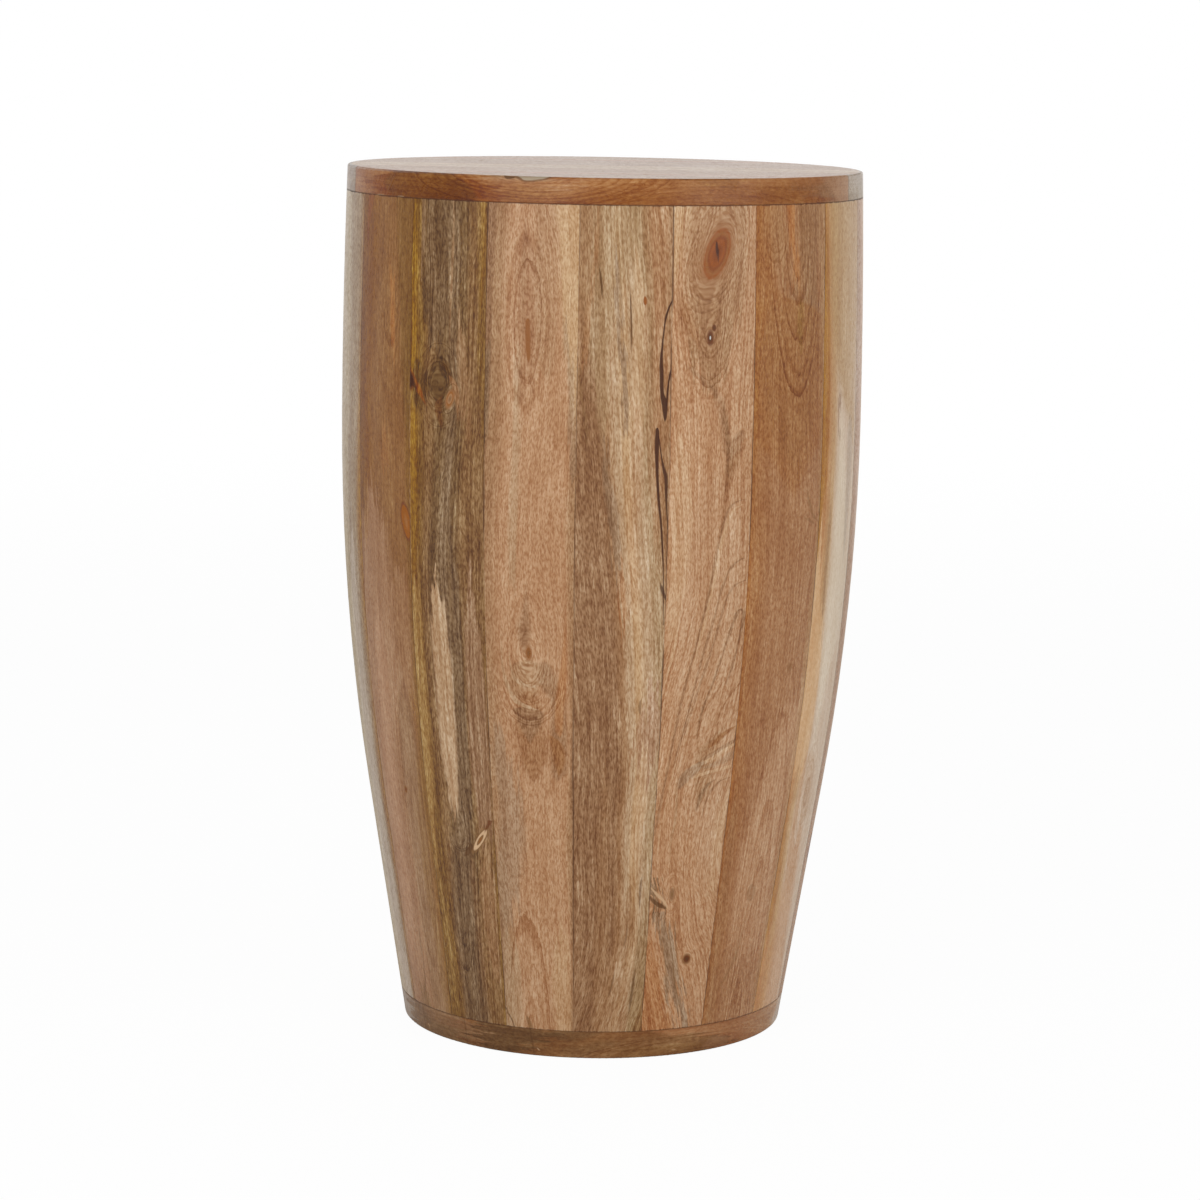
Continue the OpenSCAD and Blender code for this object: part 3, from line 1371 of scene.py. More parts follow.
# Dark olive brown with a mustard edge, two knots and a pale streak.
STAVE_02 = Plank(
    seed=2.0, light_offset=(0.021, 0.97),
    stripes=(
        (-29, T.OLIVE), (-20, T.OLIVE), (-12, T.UMBER), (-6, T.EARTH), (2, T.SMOKE), (8, T.EARTH),
        (14, T.UMBER), (20, T.UMBER), (26, T.UMBER), (30, T.OLIVE),
    ),
    streaks=(
        vein(
            T.STRAW, 0.8, 5, (95, -29, 0), (150, -27, 6), (200, -26, 9), (260, -26, 9), (310, -27, 8),
            (370, -27, 0),
        ),
        vein(
            T.OCHRE, 0.9, 4, (290, -27, 0), (350, -26, 7), (405, -27, 7), (424, -31, 3), (440, -28, 7),
            (480, -30, 8), (544, -31, 7),
        ),
        vein(T.MUSTARD, 0.5, 3, (350, -27, 0), (375, -26, 3), (405, -26, 4), (418, -27, 0)),
        vein(T.MUSTARD, 0.5, 3, (436, -27, 0), (455, -26, 3), (480, -27, 4), (500, -28, 0)),
        vein(T.BROWN, 0.6, 2, (300, -31, 3), (360, -31, 3.5), (430, -31, 3), (445, -31, 0)),
        vein(T.OLIVE, 0.8, 3, (360, 30, 0), (420, 29, 4), (470, 27, 5), (544, 26, 6)),
        vein(T.MUSTARD, 0.3, 3, (480, 27, 0), (505, 27, 4), (544, 26, 4)),
        vein(T.SMOKE, 0.8, 5, (440, -8, 0), (465, -8, 10), (500, -8, 14), (544, -8, 14)),
        vein(T.ASH, 0.5, 1.2, (478, -21, 0), (510, -20, 1.6), (544, -21, 1.6)),
        vein(T.BROWN, 0.4, 4, (18, 8, 6), (60, 8, 6), (115, 8, 5), (135, 8, 0)),
        vein(T.FAWN, 0.55, 1.0, (455, 5, 0), (480, 4, 1.4), (530, 4, 1.0), (544, 3, 1)),
        vein(T.FAWN, 0.55, 4, (395, 16, 0), (420, 15, 6), (440, 14, 7), (458, 11, 5), (480, 9, 0)),
        vein(
            T.SAP, 0.95, 3, (148, -3, 0), (158, -2, 4), (180, -4, 7), (220, -4, 8.5), (260, -5, 8),
            (290, -6, 7), (308, -6, 0),
        ),
        vein(
            T.SMOKE, 0.95, 2, (118, 2, 0), (140, 4, 6), (165, 6, 7), (190, 8, 5), (240, 8.5, 4.5),
            (290, 8, 4), (320, 6, 3.5), (355, 3, 3), (380, 1, 0),
        ),
        vein(
            T.HONEY, 0.55, 3, (140, 23, 0), (160, 22, 8), (200, 22, 9), (250, 21, 8), (290, 20, 5),
            (330, 19, 0),
        ),
        vein(T.SMOKE, 0.7, 6, (18, 0, 16), (60, -2, 14), (100, -3, 14), (128, -3, 12), (140, -2, 0)),
        vein(T.SMOKE, 0.4, 5, (52, -8, 0), (62, -8, 8), (85, -5, 12), (110, -4, 6), (125, -4, 0)),
        vein(T.FAWN, 0.55, 4, (35, 25, 0), (70, 22, 7), (110, 21, 8), (140, 21, 0)),
        patch(
            T.LOAM, 0.55, 5, (404, -2, 0), (410, -3, 4), (420, -4, 6), (430, -8, 12), (438, -6, 11),
            (446, -3, 5), (452, -2, 0),
        ),
        patch(T.BARK, 0.6, 4, (411, -19, 0), (419, -20, 7), (430, -20, 9), (440, -22, 6), (447, -24, 0)),
        patch(T.BARK, 0.7, 2.5, (427, 1, 0), (431, 4, 2.5), (436, 4, 3), (441, 1, 3), (446, -2, 0)),
        patch(T.COCOA, 0.6, 2, (403, -2, 0.5), (408, -3, 3), (416, -5, 4), (422, -3, 2), (426, -1, 0)),
        patch(T.RUSSET, 0.6, 2, (404, 11, 0), (415, 10, 2), (426, 9, 3), (433, 6, 3), (437, 3, 0)),
        patch(
            T.RED, 0.8, 2, (416, -14, 0.6), (421, -18, 2.2), (427, -22, 3.5), (434, -27, 3), (440, -30, 2),
        ),
        crack(T.BLACK, 0.8, 2, (424, -22, 0), (429, -26, 3), (434, -30, 4), (438, -31, 2)),
        crack(T.WINE, 0.8, 1.5, (146, 20, 0), (150, 23, 1.6), (156, 27, 2.5)),
        crack(T.BARK, 0.7, 2, (129, 1, 0), (132, 5, 3.5), (136, 8, 3), (140, 10, 0)),
    ),
    eyes=(
        Eye(
            431, -29, 5, 3.4,
            core=((0, T.BLACK), (0.7, T.BLACK), (1.0, T.WINE, 0.9), (1.5, T.RED, 0)),
            part=1.0,
        ),
        Eye(
            422, 4.2, 4.6, 2.4, 0.25,
            core=(
                (0, T.UMBER), (0.4, T.BROWN), (0.6, T.FAWN), (0.85, T.CHESTNUT), (1.15, T.RUSSET, 0.7),
                (1.7, T.COCOA, 0),
            ),
            gap=1.6, reach=2.6, start=1.0, depth=0.5, part=1.6,
        ),
        Eye(430, -5, 17, 12, gap=2.2, reach=1.9, start=0.5, depth=0.26, part=0.5),
        Eye(
            142, 17, 7, 2.7, 0.75,
            core=(
                (0, T.CHESTNUT), (0.45, T.UMBER), (0.62, T.PALE), (0.95, T.PALE), (1.2, T.UMBER, 0.7),
                (1.6, T.UMBER, 0),
            ),
            part=0.8,
        ),
        Eye(142, -1, 9, 9, gap=1.8, reach=1.3, depth=0.4, start=0.3, part=0.3, below=True),
        Eye(98, -6, 40, 10, gap=2.6, reach=1.5, depth=0.4, start=0.3, below=True),
    ),
    fibre=0.1, fleck=0.06, curl=0.05, cloud=0.06, lines=0.3, pore_mm=3.4, fibre_mm=26.0,
)

# Pinkish tan with arches, a small knot and a cream edge.
STAVE_03 = Plank(
    seed=3.0, light_offset=(0.02, 1.05),
    stripes=(
        (-30, T.BROWN), (-26, T.FAWN), (-14, T.TAN), (0, T.TAN), (15, T.TAN), (24, T.TAN), (29, T.FAWN),
    ),
    streaks=(
        vein(T.CREAM, 0.95, 5, (375, 30, 0), (420, 28, 4), (450, 26, 7), (500, 25, 9), (544, 22, 11)),
        vein(T.ASH, 0.5, 3, (375, 29, 0), (410, 27, 4), (440, 25, 4), (470, 21, 2), (480, 19, 0)),
        vein(T.SAP, 0.7, 4, (300, -9, 0), (330, -10, 4), (395, -8, 5), (430, -9, 5), (465, -7, 0)),
        vein(T.FAWN, 0.6, 3, (440, -5, 0), (470, -5, 3), (495, -5, 3.5), (512, -5, 0)),
        vein(T.RUSSET, 0.45, 4, (400, -20, 0), (415, -18, 6), (430, -17, 0)),
        vein(T.SMOKE, 0.65, 3, (392, -29, 0), (410, -29, 4.5), (440, -29, 4.5), (462, -29, 0)),
        vein(T.CLAY, 0.5, 9, (415, -4, 0), (440, -3, 12), (480, -2, 15), (515, -1, 12), (535, -2, 0)),
        patch(T.FAWN, 0.45, 5, (430, 12, 0), (460, 10, 9), (520, 9, 10), (544, 8, 9)),
        patch(
            T.BROWN, 0.7, 5, (184, 18, 0), (196, 20, 8), (215, 20, 8), (232, 20, 7), (250, 12, 9),
            (264, 10, 0),
        ),
        patch(T.FAWN, 0.7, 4, (234, -4, 0), (245, -4, 12), (256, -2, 12), (264, 0, 0)),
        patch(T.SAP, 0.6, 4, (18, -26, 6), (60, -25, 6), (92, -24, 0)),
        patch(
            T.RUSSET, 0.8, 6, (180, 2, 0), (192, 2, 9), (206, 2, 13), (222, 0, 13), (236, 0, 10),
            (247, 0, 0),
        ),
        patch(T.BROWN, 0.8, 4, (206, 0, 0), (216, 0, 7), (225, 0, 11), (229, -1, 12), (232, -3, 5)),
        patch(
            T.SAP, 0.7, 1.6, (231, 3, 4), (233, -3, 4), (238, -11, 2.4), (250, -16, 1.8), (268, -18, 1.2),
            (300, -17, 0),
        ),
        patch(T.SAP, 0.6, 1.4, (245, 0, 3), (247, -5, 3), (252, -10, 1.8), (262, -13, 1.2), (275, -13, 0)),
        patch(T.SAP, 0.5, 1.4, (245, 2, 3), (249, 8, 2), (258, 12, 1.2), (270, 13, 0)),
        patch(T.ORANGE, 0.75, 2.5, (213, 20, 0), (220, 20, 4), (240, 21, 4.5), (262, 23, 3), (300, 24, 0)),
        patch(T.CHESTNUT, 0.7, 3, (186, 19, 0), (196, 20, 5), (206, 19, 6), (213, 15, 4), (217, 11, 0)),
        vein(
            T.ASH, 0.55, 7, (70, -25, 0), (100, -22, 9), (130, -18, 13), (160, -15, 12), (190, -20, 10),
            (225, -25, 0),
        ),
        vein(T.CREAM, 0.55, 5, (18, 22, 10), (60, 20, 9), (100, 20, 0)),
        patch(T.BROWN, 0.65, 5, (264, -3, 0), (272, -3, 5), (281, -3, 7), (292, -2, 5), (318, -1, 0)),
        vein(T.SAP, 0.6, 4, (18, -20, 8), (50, -18, 7), (78, -16, 0)),
        vein(T.BROWN, 0.6, 1.6, (18, 29, 2), (150, 29.5, 2), (281, 29.5, 1.6)),
        crack(T.CHESTNUT, 0.95, 1.0, (446, -1, 0), (452, -1.3, 1.6), (470, -1.7, 2.0), (475, -1.6, 0)),
        crack(T.BARK, 0.8, 1.2, (15, -21, 1.2), (24, -25, 1.1), (34, -31, 1.0)),
        crack(T.UMBER, 0.7, 2, (15, -6, 2.8), (22, -8, 2.8), (29, -11, 0)),
    ),
    eyes=(
        Eye(474, -2, 62, 14, gap=4.8, reach=1.5, start=0.4, depth=0.36, part=0.15),
        Eye(
            267, 0, 3.6, 1.7,
            core=((0, T.COCOA), (0.8, T.CHESTNUT), (1.1, T.RUSSET, 0.8), (1.9, T.FAWN, 0)),
            part=1.6,
        ),
        Eye(267, -1, 19, 10, gap=2.0, reach=1.8, start=0.3, depth=0.36, part=0.4, below=True),
        Eye(272, -1, 30, 11, gap=2.4, reach=1.5, start=0.3, depth=0.16),
        Eye(252, 0, 26, 20, gap=2.4, reach=1.6, start=0.7, depth=0.45, below=True),
        Eye(5, -7, 92, 17, gap=3.4, reach=1.35, depth=0.38),
    ),
    fibre=0.05, fleck=0.055, lines=0.08,
)

# Brown and cream, with black cracks along one edge.
STAVE_04 = Plank(
    seed=4.0, light_offset=(0.02, 1.05),
    stripes=(
        (-34, T.BROWN), (-18, T.BROWN), (-10, T.BROWN), (-4, T.FAWN), (2, T.SAP), (6, T.CREAM), (12, T.SAP),
        (20, T.OAT), (27, T.FAWN), (38, T.FAWN),
    ),
    drift=(
        (18, -3), (60, 6), (100, 9), (150, 8), (200, 10.5), (250, 9), (300, 5), (360, -2), (400, -6),
        (440, -8.5), (500, -11), (544, -13),
    ),
    streaks=(
        patch(T.FAWN, 0.6, 5, (18, -7, 8), (60, -7, 8), (110, -7, 7), (160, -7, 6), (215, -8, 0)),
        patch(T.PALE, 0.6, 3, (395, 6, 0), (430, 9, 6), (470, 9, 6), (505, 7, 4), (528, 4, 0)),
        vein(T.OAT, 0.75, 6, (380, -14, 0), (420, -13, 6), (460, -16, 10), (500, -15, 18), (544, -13, 24)),
        vein(T.FAWN, 0.7, 4, (400, -30, 0), (450, -30, 6), (500, -28, 8), (544, -26, 8)),
        vein(T.ORANGE, 0.4, 3, (430, -27, 0), (480, -22, 3), (520, -18, 3), (544, -17, 2)),
        vein(T.UMBER, 0.5, 2.5, (395, -20, 0), (420, -25, 3), (445, -28, 3)),
        vein(T.ASH, 0.85, 2, (385, 2, 0), (420, 1, 2.4), (450, -2, 3), (490, -5, 3), (525, -6, 0)),
        vein(T.ASH, 0.7, 2.5, (290, -1, 0), (320, -2, 3), (350, -5, 4), (380, -9, 4), (410, -13, 0)),
        vein(T.CREAM, 0.6, 4, (150, 20, 0), (170, 19, 6), (200, 20, 0)),
        vein(T.PINK, 0.7, 5, (180, 20, 0), (200, 20, 9), (225, 22, 10), (250, 26, 0)),
        vein(
            T.RUSSET, 0.4, 2.5, (300, 25, 1), (340, 21, 3), (370, 19, 4), (400, 17, 4), (430, 15, 3),
            (460, 13, 3), (505, 12, 0),
        ),
        vein(T.TAN, 0.6, 4, (400, 27, 2), (440, 28, 4), (490, 22, 6), (544, 20, 8)),
        vein(T.TAN, 0.5, 5, (335, 22, 0), (370, 22, 5), (440, 21, 6), (480, 21, 6), (505, 22, 0)),
        vein(T.TAN, 0.35, 5, (285, 7, 0), (310, 7, 6), (400, 8, 6), (425, 8, 0)),
        vein(T.ORANGE, 0.55, 3, (275, 3, 0), (295, 2, 3.5), (312, 0, 4), (332, 0, 0)),
        vein(T.OLIVE, 0.5, 5, (18, 24, 12), (50, 24, 9), (90, 25, 5), (130, 25, 0)),
        vein(T.FAWN, 0.75, 5, (18, 2, 16), (60, 8, 10), (100, 14, 7), (130, 16, 0)),
        vein(T.RUSSET, 0.7, 1.5, (180, 8, 0), (195, 10, 1.6), (215, 12, 0)),
        vein(T.PALE, 0.6, 3, (120, 15, 0), (150, 17, 5), (185, 19, 5), (210, 18, 0)),
        crack(
            T.BLACK, 0.95, 0.5, (412, 25.4, 0.2), (418, 25.4, 1.6), (425, 24.6, 2.1), (431, 23.2, 1.4),
            (441, 22.8, 1.5), (450, 22.4, 1.2), (460, 23.0, 0.9), (472, 24.6, 0.85), (481, 26.6, 0.85),
            (488, 30, 0.85),
        ),
        crack(T.BLACK, 0.95, 0.5, (422, 26.2, 1.0), (432, 27.0, 0.9), (440, 28.2, 0.9), (449, 31, 0.9)),
        crack(
            T.BLACK, 0.95, 0.5, (286, 27.6, 0.4), (320, 26.4, 0.7), (345, 24.6, 0.85), (362, 22.8, 0.9),
            (382, 21.2, 0.95), (398, 20.8, 1.3), (405, 20.8, 1.4), (409, 20.4, 0.5),
        ),
        crack(
            T.BLACK, 0.9, 0.5, (346, 29, 0.4), (364, 27.6, 0.7), (378, 26.8, 0.9), (382, 26, 1.1),
            (392, 23.8, 0.8), (404, 21.2, 0.8),
        ),
        crack(T.BLACK, 0.8, 1.0, (300, 31, 1.4), (305, 27.6, 1.6), (313, 25, 0.6)),
        crack(T.BARK, 0.85, 0.6, (486, -14.0, 0.2), (498, -15, 1.1), (508, -16.6, 0.2)),
        crack(T.BARK, 0.8, 0.5, (455, 3.8, 0.2), (474, 3.1, 0.8), (494, 2.3, 0.2)),
        crack(T.RED, 0.9, 1.0, (483, 12, 0), (486, 12, 1.8), (490, 11.6, 0)),
        crack(T.BARK, 0.6, 1.2, (98, 21.6, 0.2), (112, 21, 1.4), (127, 22.4, 0.2)),
        crack(T.BARK, 0.55, 1.2, (74, 9.6, 0.2), (82, 12, 1.2), (92, 14, 0.2)),
        crack(T.BARK, 0.55, 1.4, (38, -2, 0.2), (50, 2, 1.4), (62, 4.4, 0.2)),
        crack(T.BARK, 0.65, 1.4, (26, 16, 0.2), (45, 19, 1.6), (64, 21, 0.2)),
        crack(T.UMBER, 0.7, 0.9, (228, 15.4, 0.2), (234, 14.4, 1.2), (241, 15.6, 0.2)),
        crack(T.UMBER, 0.6, 0.9, (262, 27, 0.2), (272, 25.5, 0.9), (281, 26, 0.2)),
    ),
    fibre=0.09, fleck=0.06, cloud=0.06, lines=0.24, wander=12.0, pore_mm=3.4, fibre_mm=24.0,
)

# Pinkish tan with a large red knot and swirling grain.
STAVE_05 = Plank(
    seed=5.0, light_offset=(0.021, 0.99),
    stripes=((-38, T.TAN), (-8, T.TAN), (4, T.TAN), (30, T.TAN)),
    drift=((18, 24), (60, 13), (100, 1), (150, -6), (200, 0), (240, 6), (280, 11), (330, 14), (544, 14)),
    streaks=(
        vein(T.PEACH, 0.6, 12, (110, 16, 0), (150, 14, 18), (220, 4, 30), (320, 2, 30), (390, 0, 0)),
        vein(T.FAWN, 0.75, 8, (445, 0, 0), (465, -2, 20), (500, 0, 26), (544, 0, 26)),
        vein(T.CREAM, 0.7, 4, (440, -31, 0), (480, -30, 4), (520, -28, 7), (544, -26, 10)),
        vein(T.FAWN, 0.8, 6, (430, 0, 0), (442, -2, 12), (465, -3, 17), (490, -3, 14), (512, -2, 0)),
        patch(T.RUSSET, 0.8, 4, (453, -8, 0), (461, -12, 3.5), (470, -17, 6), (484, -21, 5), (498, -23, 0)),
        patch(T.BROWN, 0.6, 4, (362, 8, 1), (376, 11, 4), (388, 14, 6), (398, 16, 6), (406, 20, 4)),
        patch(
            T.RUSSET, 0.6, 2, (300, 0, 0.8), (330, 4, 1.4), (352, 8, 2), (370, 11, 3), (385, 14, 4),
            (392, 18, 3), (398, 24, 0),
        ),
        patch(
            T.BROWN, 0.5, 4, (390, 10, 2), (398, 9, 5), (412, 7, 5), (428, 2, 4), (438, -8, 4),
            (448, -20, 2),
        ),
        vein(T.UMBER, 0.35, 2.5, (384, 8, 0), (392, 11, 3), (404, 9, 3), (424, 5, 1.5), (434, 2, 0)),
        vein(T.PALE, 0.5, 5, (255, -26, 0), (300, -22, 8), (350, -20, 9), (420, -24, 0)),
        patch(
            T.PALE, 0.6, 1.6, (250, -10, 0.5), (290, -1, 2), (325, 5, 2.6), (345, 10, 2.2), (356, 15, 2),
            (360, 22, 2),
        ),
        patch(
            T.BROWN, 0.65, 1.2, (150, -28, 1.1), (190, -22, 1.5), (235, -15, 1.5), (275, -6, 1.5),
            (310, 1.5, 1.4), (340, 6.5, 1.4), (356, 11.5, 1.5), (362, 18, 1.9), (363, 24, 2.5),
        ),
        patch(
            T.BROWN, 0.7, 1.2, (195, -17, 0.9), (230, -9, 1.4), (260, -3, 1.4), (290, 5, 1.4),
            (312, 11, 1.4), (322, 17, 1.7), (326, 24, 2.1),
        ),
        patch(
            T.BROWN, 0.65, 1.2, (215, -11, 0.9), (245, -3, 1.4), (275, 6, 1.4), (300, 13, 1.4),
            (309, 19, 1.7), (312, 27, 1.9),
        ),
        patch(
            T.BROWN, 0.85, 1.2, (212, -2, 0.9), (228, 0, 1.5), (250, 8, 1.4), (272, 15, 1.4), (287, 20, 1.6),
            (293, 23, 2.1), (294, 25, 1.7),
        ),
        patch(
            T.BROWN, 0.8, 1.2, (246, 17, 0.9), (262, 22, 1.4), (280, 26, 1.4), (290, 27, 1.5),
            (294, 25, 1.7),
        ),
        patch(T.RUSSET, 0.7, 1.2, (202, 0, 1), (212, -1, 1.4), (226, 1, 1.4), (240, 9, 1.3), (248, 14, 1)),
        patch(
            T.RUSSET, 0.7, 1.2, (212, 14, 1.1), (222, 12.5, 1.4), (232, 16, 1.4), (240, 22, 1.4),
            (246, 28, 1.4),
        ),
        patch(T.FAWN, 0.6, 4, (168, 4, 0), (180, 6, 8), (200, 6, 9), (213, 14, 6), (222, 20, 0)),
        patch(T.CHESTNUT, 0.75, 3, (205, 7, 0), (208, 11, 4), (212, 16, 4.5), (216, 22, 4), (219, 29, 2)),
        patch(T.PALE, 0.6, 2.5, (194, -3, 3), (197, 6, 6), (202, 16, 6), (207, 26, 6)),
        patch(T.BROWN, 0.6, 1.6, (196, 0, 2), (198.5, 5, 3), (202.5, 13, 4), (207.5, 24, 4), (210, 30, 2)),
        patch(T.PALE, 0.6, 2.5, (186, -4, 2), (189, 6, 6), (191, 18, 8), (193, 30, 6)),
        patch(T.ASH, 0.6, 3, (178, -13, 0), (184, -10, 5), (191, -4, 7), (197, 4, 4)),
        patch(T.ASH, 0.35, 3, (192, 6, 2), (195, 16, 8), (199, 26, 8), (203, 31, 4)),
        patch(T.SMOKE, 0.45, 2.5, (163, 1.5, 0), (168, 3, 2.6), (175, 5, 3), (181, 9, 3), (185, 16, 1)),
        patch(T.BROWN, 0.7, 1.2, (160, 7, 0.9), (172, 10, 1.4), (182, 17, 1.7), (185, 26, 2.5)),
        patch(
            T.SAP, 0.6, 1.4, (120, -13, 0.4), (140, -15, 1.2), (165, -13, 1.6), (185, -14, 1.0),
            (200, -9, 0),
        ),
        patch(T.PALE, 0.5, 1.4, (120, -26, 0.4), (150, -24, 1.2), (180, -19, 1.4), (205, -14, 0)),
        vein(T.PALE, 0.5, 5, (90, 22, 0), (130, 22, 8), (160, 24, 8), (180, 28, 0)),
        vein(T.ASH, 0.9, 3, (18, 12, 5), (35, 3, 7), (50, -4, 7), (70, -9, 7), (88, -15, 7), (99, -24, 3)),
        vein(T.ORANGE, 0.7, 4, (18, -16, 18), (40, -22, 12), (60, -25, 9), (92, -32, 0)),
        vein(T.SMOKE, 0.8, 3, (97, -13, 0), (102, -18, 6), (110, -25, 6), (122, -31, 4)),
        crack(T.BARK, 0.8, 2.2, (100, -15, 0), (103, -20, 4), (107, -26, 3), (112, -31, 1)),
        crack(T.PALE, 0.8, 1.5, (98, -12, 0), (103, -15, 1.8), (109, -21, 2.2), (116, -29, 1)),
        crack(T.UMBER, 0.7, 1.0, (26, 8, 0.2), (50, -2, 1.0), (70, -7, 1.0), (92, -14, 0.2)),
        crack(T.UMBER, 0.6, 0.9, (36, 9, 0.2), (60, 0, 0.9), (80, -5, 0.9), (97, -9, 0.2)),
        crack(T.UMBER, 0.5, 0.9, (22, 0, 0.2), (46, -9, 0.9), (66, -13, 0.9), (88, -20, 0.2)),
        crack(T.BLACK, 0.9, 0.8, (508, 1.4, 0.2), (514, 1.0, 1.0), (518, 0.4, 1.4), (523, 0.2, 0.2)),
    ),
    eyes=(
        Eye(
            515, 0.6, 15.5, 8.3, 0.28,
            core=(
                (0, T.WINE), (0.22, T.RUST), (0.5, T.RED), (0.62, T.RUST), (0.8, T.CHESTNUT),
                (0.95, T.RED, 0.9), (1.08, T.RUSSET, 0.7), (1.4, T.RUSSET, 0.3), (2.0, T.RUSSET, 0),
            ),
            gap=2.6, reach=3.0, start=1.1, depth=0.34, part=1.5,
        ),
        Eye(
            463.5, -3.4, 3.8, 1.8,
            core=(
                (0, T.SPECK), (0.12, T.SPECK), (0.38, T.BARK), (0.8, T.WINE), (1.1, T.WINE, 0.7),
                (1.7, T.RUSSET, 0),
            ),
            part=1.2,
        ),
        Eye(469.5, -0.9, 1.8, 1.2, core=((0, T.BARK), (0.8, T.WINE), (1.5, T.WINE, 0))),
        Eye(478, -3, 42, 17, gap=2.8, reach=1.4, start=0.4, depth=0.5, part=0.2, below=True),
        Eye(
            110, -11, 3.8, 1.9,
            core=((0, T.UMBER), (0.8, T.BROWN, 0.9), (1.6, T.FAWN, 0)),
            gap=1.8, reach=5.0, depth=0.3, part=1.2,
        ),
        Eye(
            65.5, 6.4, 3.0, 3.2,
            core=((0, T.BARK), (0.6, T.WINE), (1.0, T.COCOA, 0.8), (1.5, T.FAWN, 0)),
            part=1.5,
        ),
        Eye(107, -30, 12, 8, part=0.9),
    ),
    fleck=0.06, lines=0.3,
)

# Even red-brown, with hanging loops above and arches below.
STAVE_06 = Plank(
    seed=6.0, light_offset=(0.026, 0.87),
    stripes=(
        (-33, T.SIENNA), (-27, T.RUSSET), (-12, T.CLAY), (0, T.CLAY), (12, T.CLAY), (24, T.CLAY),
        (29, T.FAWN), (33, T.FAWN),
    ),
    streaks=(
        vein(T.BROWN, 0.85, 6, (425, 18, 0), (460, 16, 6), (490, 16, 9), (515, 14, 12), (544, 14, 14)),
        vein(T.ORANGE, 0.8, 3, (466, 8, 0), (480, 7, 3), (500, 3, 4.5), (520, -1, 4.5), (544, -3, 5)),
        vein(T.FAWN, 0.7, 6, (498, -10, 0), (506, -12, 10), (525, -15, 12), (544, -18, 9)),
        vein(T.BROWN, 0.65, 9, (375, 5, 0), (410, 0, 26), (455, 0, 34), (490, 8, 20), (510, 14, 0)),
        patch(
            T.CHESTNUT, 0.45, 9, (355, 4, 0), (385, 2, 22), (410, 0, 36), (470, -2, 36), (488, -18, 14),
            (500, -22, 9), (544, -23, 8),
        ),
        vein(T.OLIVE, 0.5, 3, (452, 6, 0), (463, 7, 4), (476, 7, 4.5), (488, 6, 0)),
        vein(
            T.CHESTNUT, 0.6, 4, (18, -31, 5), (200, -32, 3), (300, -32, 4), (450, -31, 5), (530, -31, 6),
            (544, -31, 6),
        ),
        vein(
            T.PEACH, 0.5, 20, (30, 8, 0), (75, 8, 26), (110, 6, 32), (160, 10, 28), (210, 18, 18),
            (265, 26, 0),
        ),
        vein(T.PALE, 0.25, 5, (150, 30, 0), (180, 30, 7), (215, 30, 8), (240, 31, 0)),
        vein(T.BROWN, 0.35, 5, (18, -27, 8), (80, -27, 8), (140, -26, 6), (200, -24, 0)),
        vein(T.BROWN, 0.2, 8, (18, 4, 34), (35, 2, 34), (60, -6, 22), (80, -6, 0)),
        crack(
            T.UMBER, 0.5, 1.4, (344, 30, 0.6), (348, 25, 2), (354, 21, 2), (368, 16.6, 0.8),
            (384, 15.5, 0.2),
        ),
        crack(T.UMBER, 0.4, 1.6, (343, 26, 2), (346, 20, 3), (348, 15, 0.5)),
        crack(T.UMBER, 0.4, 1.8, (38, -22, 0.4), (50, -12, 2.2), (66, -3, 2), (84, 0, 1.2), (98, 2, 0.4)),
    ),
    eyes=(
        Eye(552, 4, 106, 21, gap=3.0, reach=1.6, depth=0.42, start=0.2, below=True),
        Eye(536, -16, 30, 12, gap=2.4, reach=1.4, depth=0.28, start=0.3, below=True),
        Eye(5, 9, 215, 20, gap=3.4, reach=1.25, depth=0.42),
        Eye(20, 4, 46, 13, gap=2.8, reach=1.4, depth=0.3),
        Eye(
            104, 3, 5, 4,
            core=((0, T.BROWN, 0.5), (0.7, T.BROWN, 0.5), (1.0, T.UMBER, 0.45), (1.4, T.BROWN, 0)),
            part=0.6,
        ),
        Eye(252, 12, 3, 2.5, core=((0, T.COCOA, 0.8), (0.7, T.COCOA, 0.5), (1.6, T.BROWN, 0))),
    ),
    fibre=0.05, fleck=0.045, cloud=0.045, curl=0.055, lines=0.14,
)

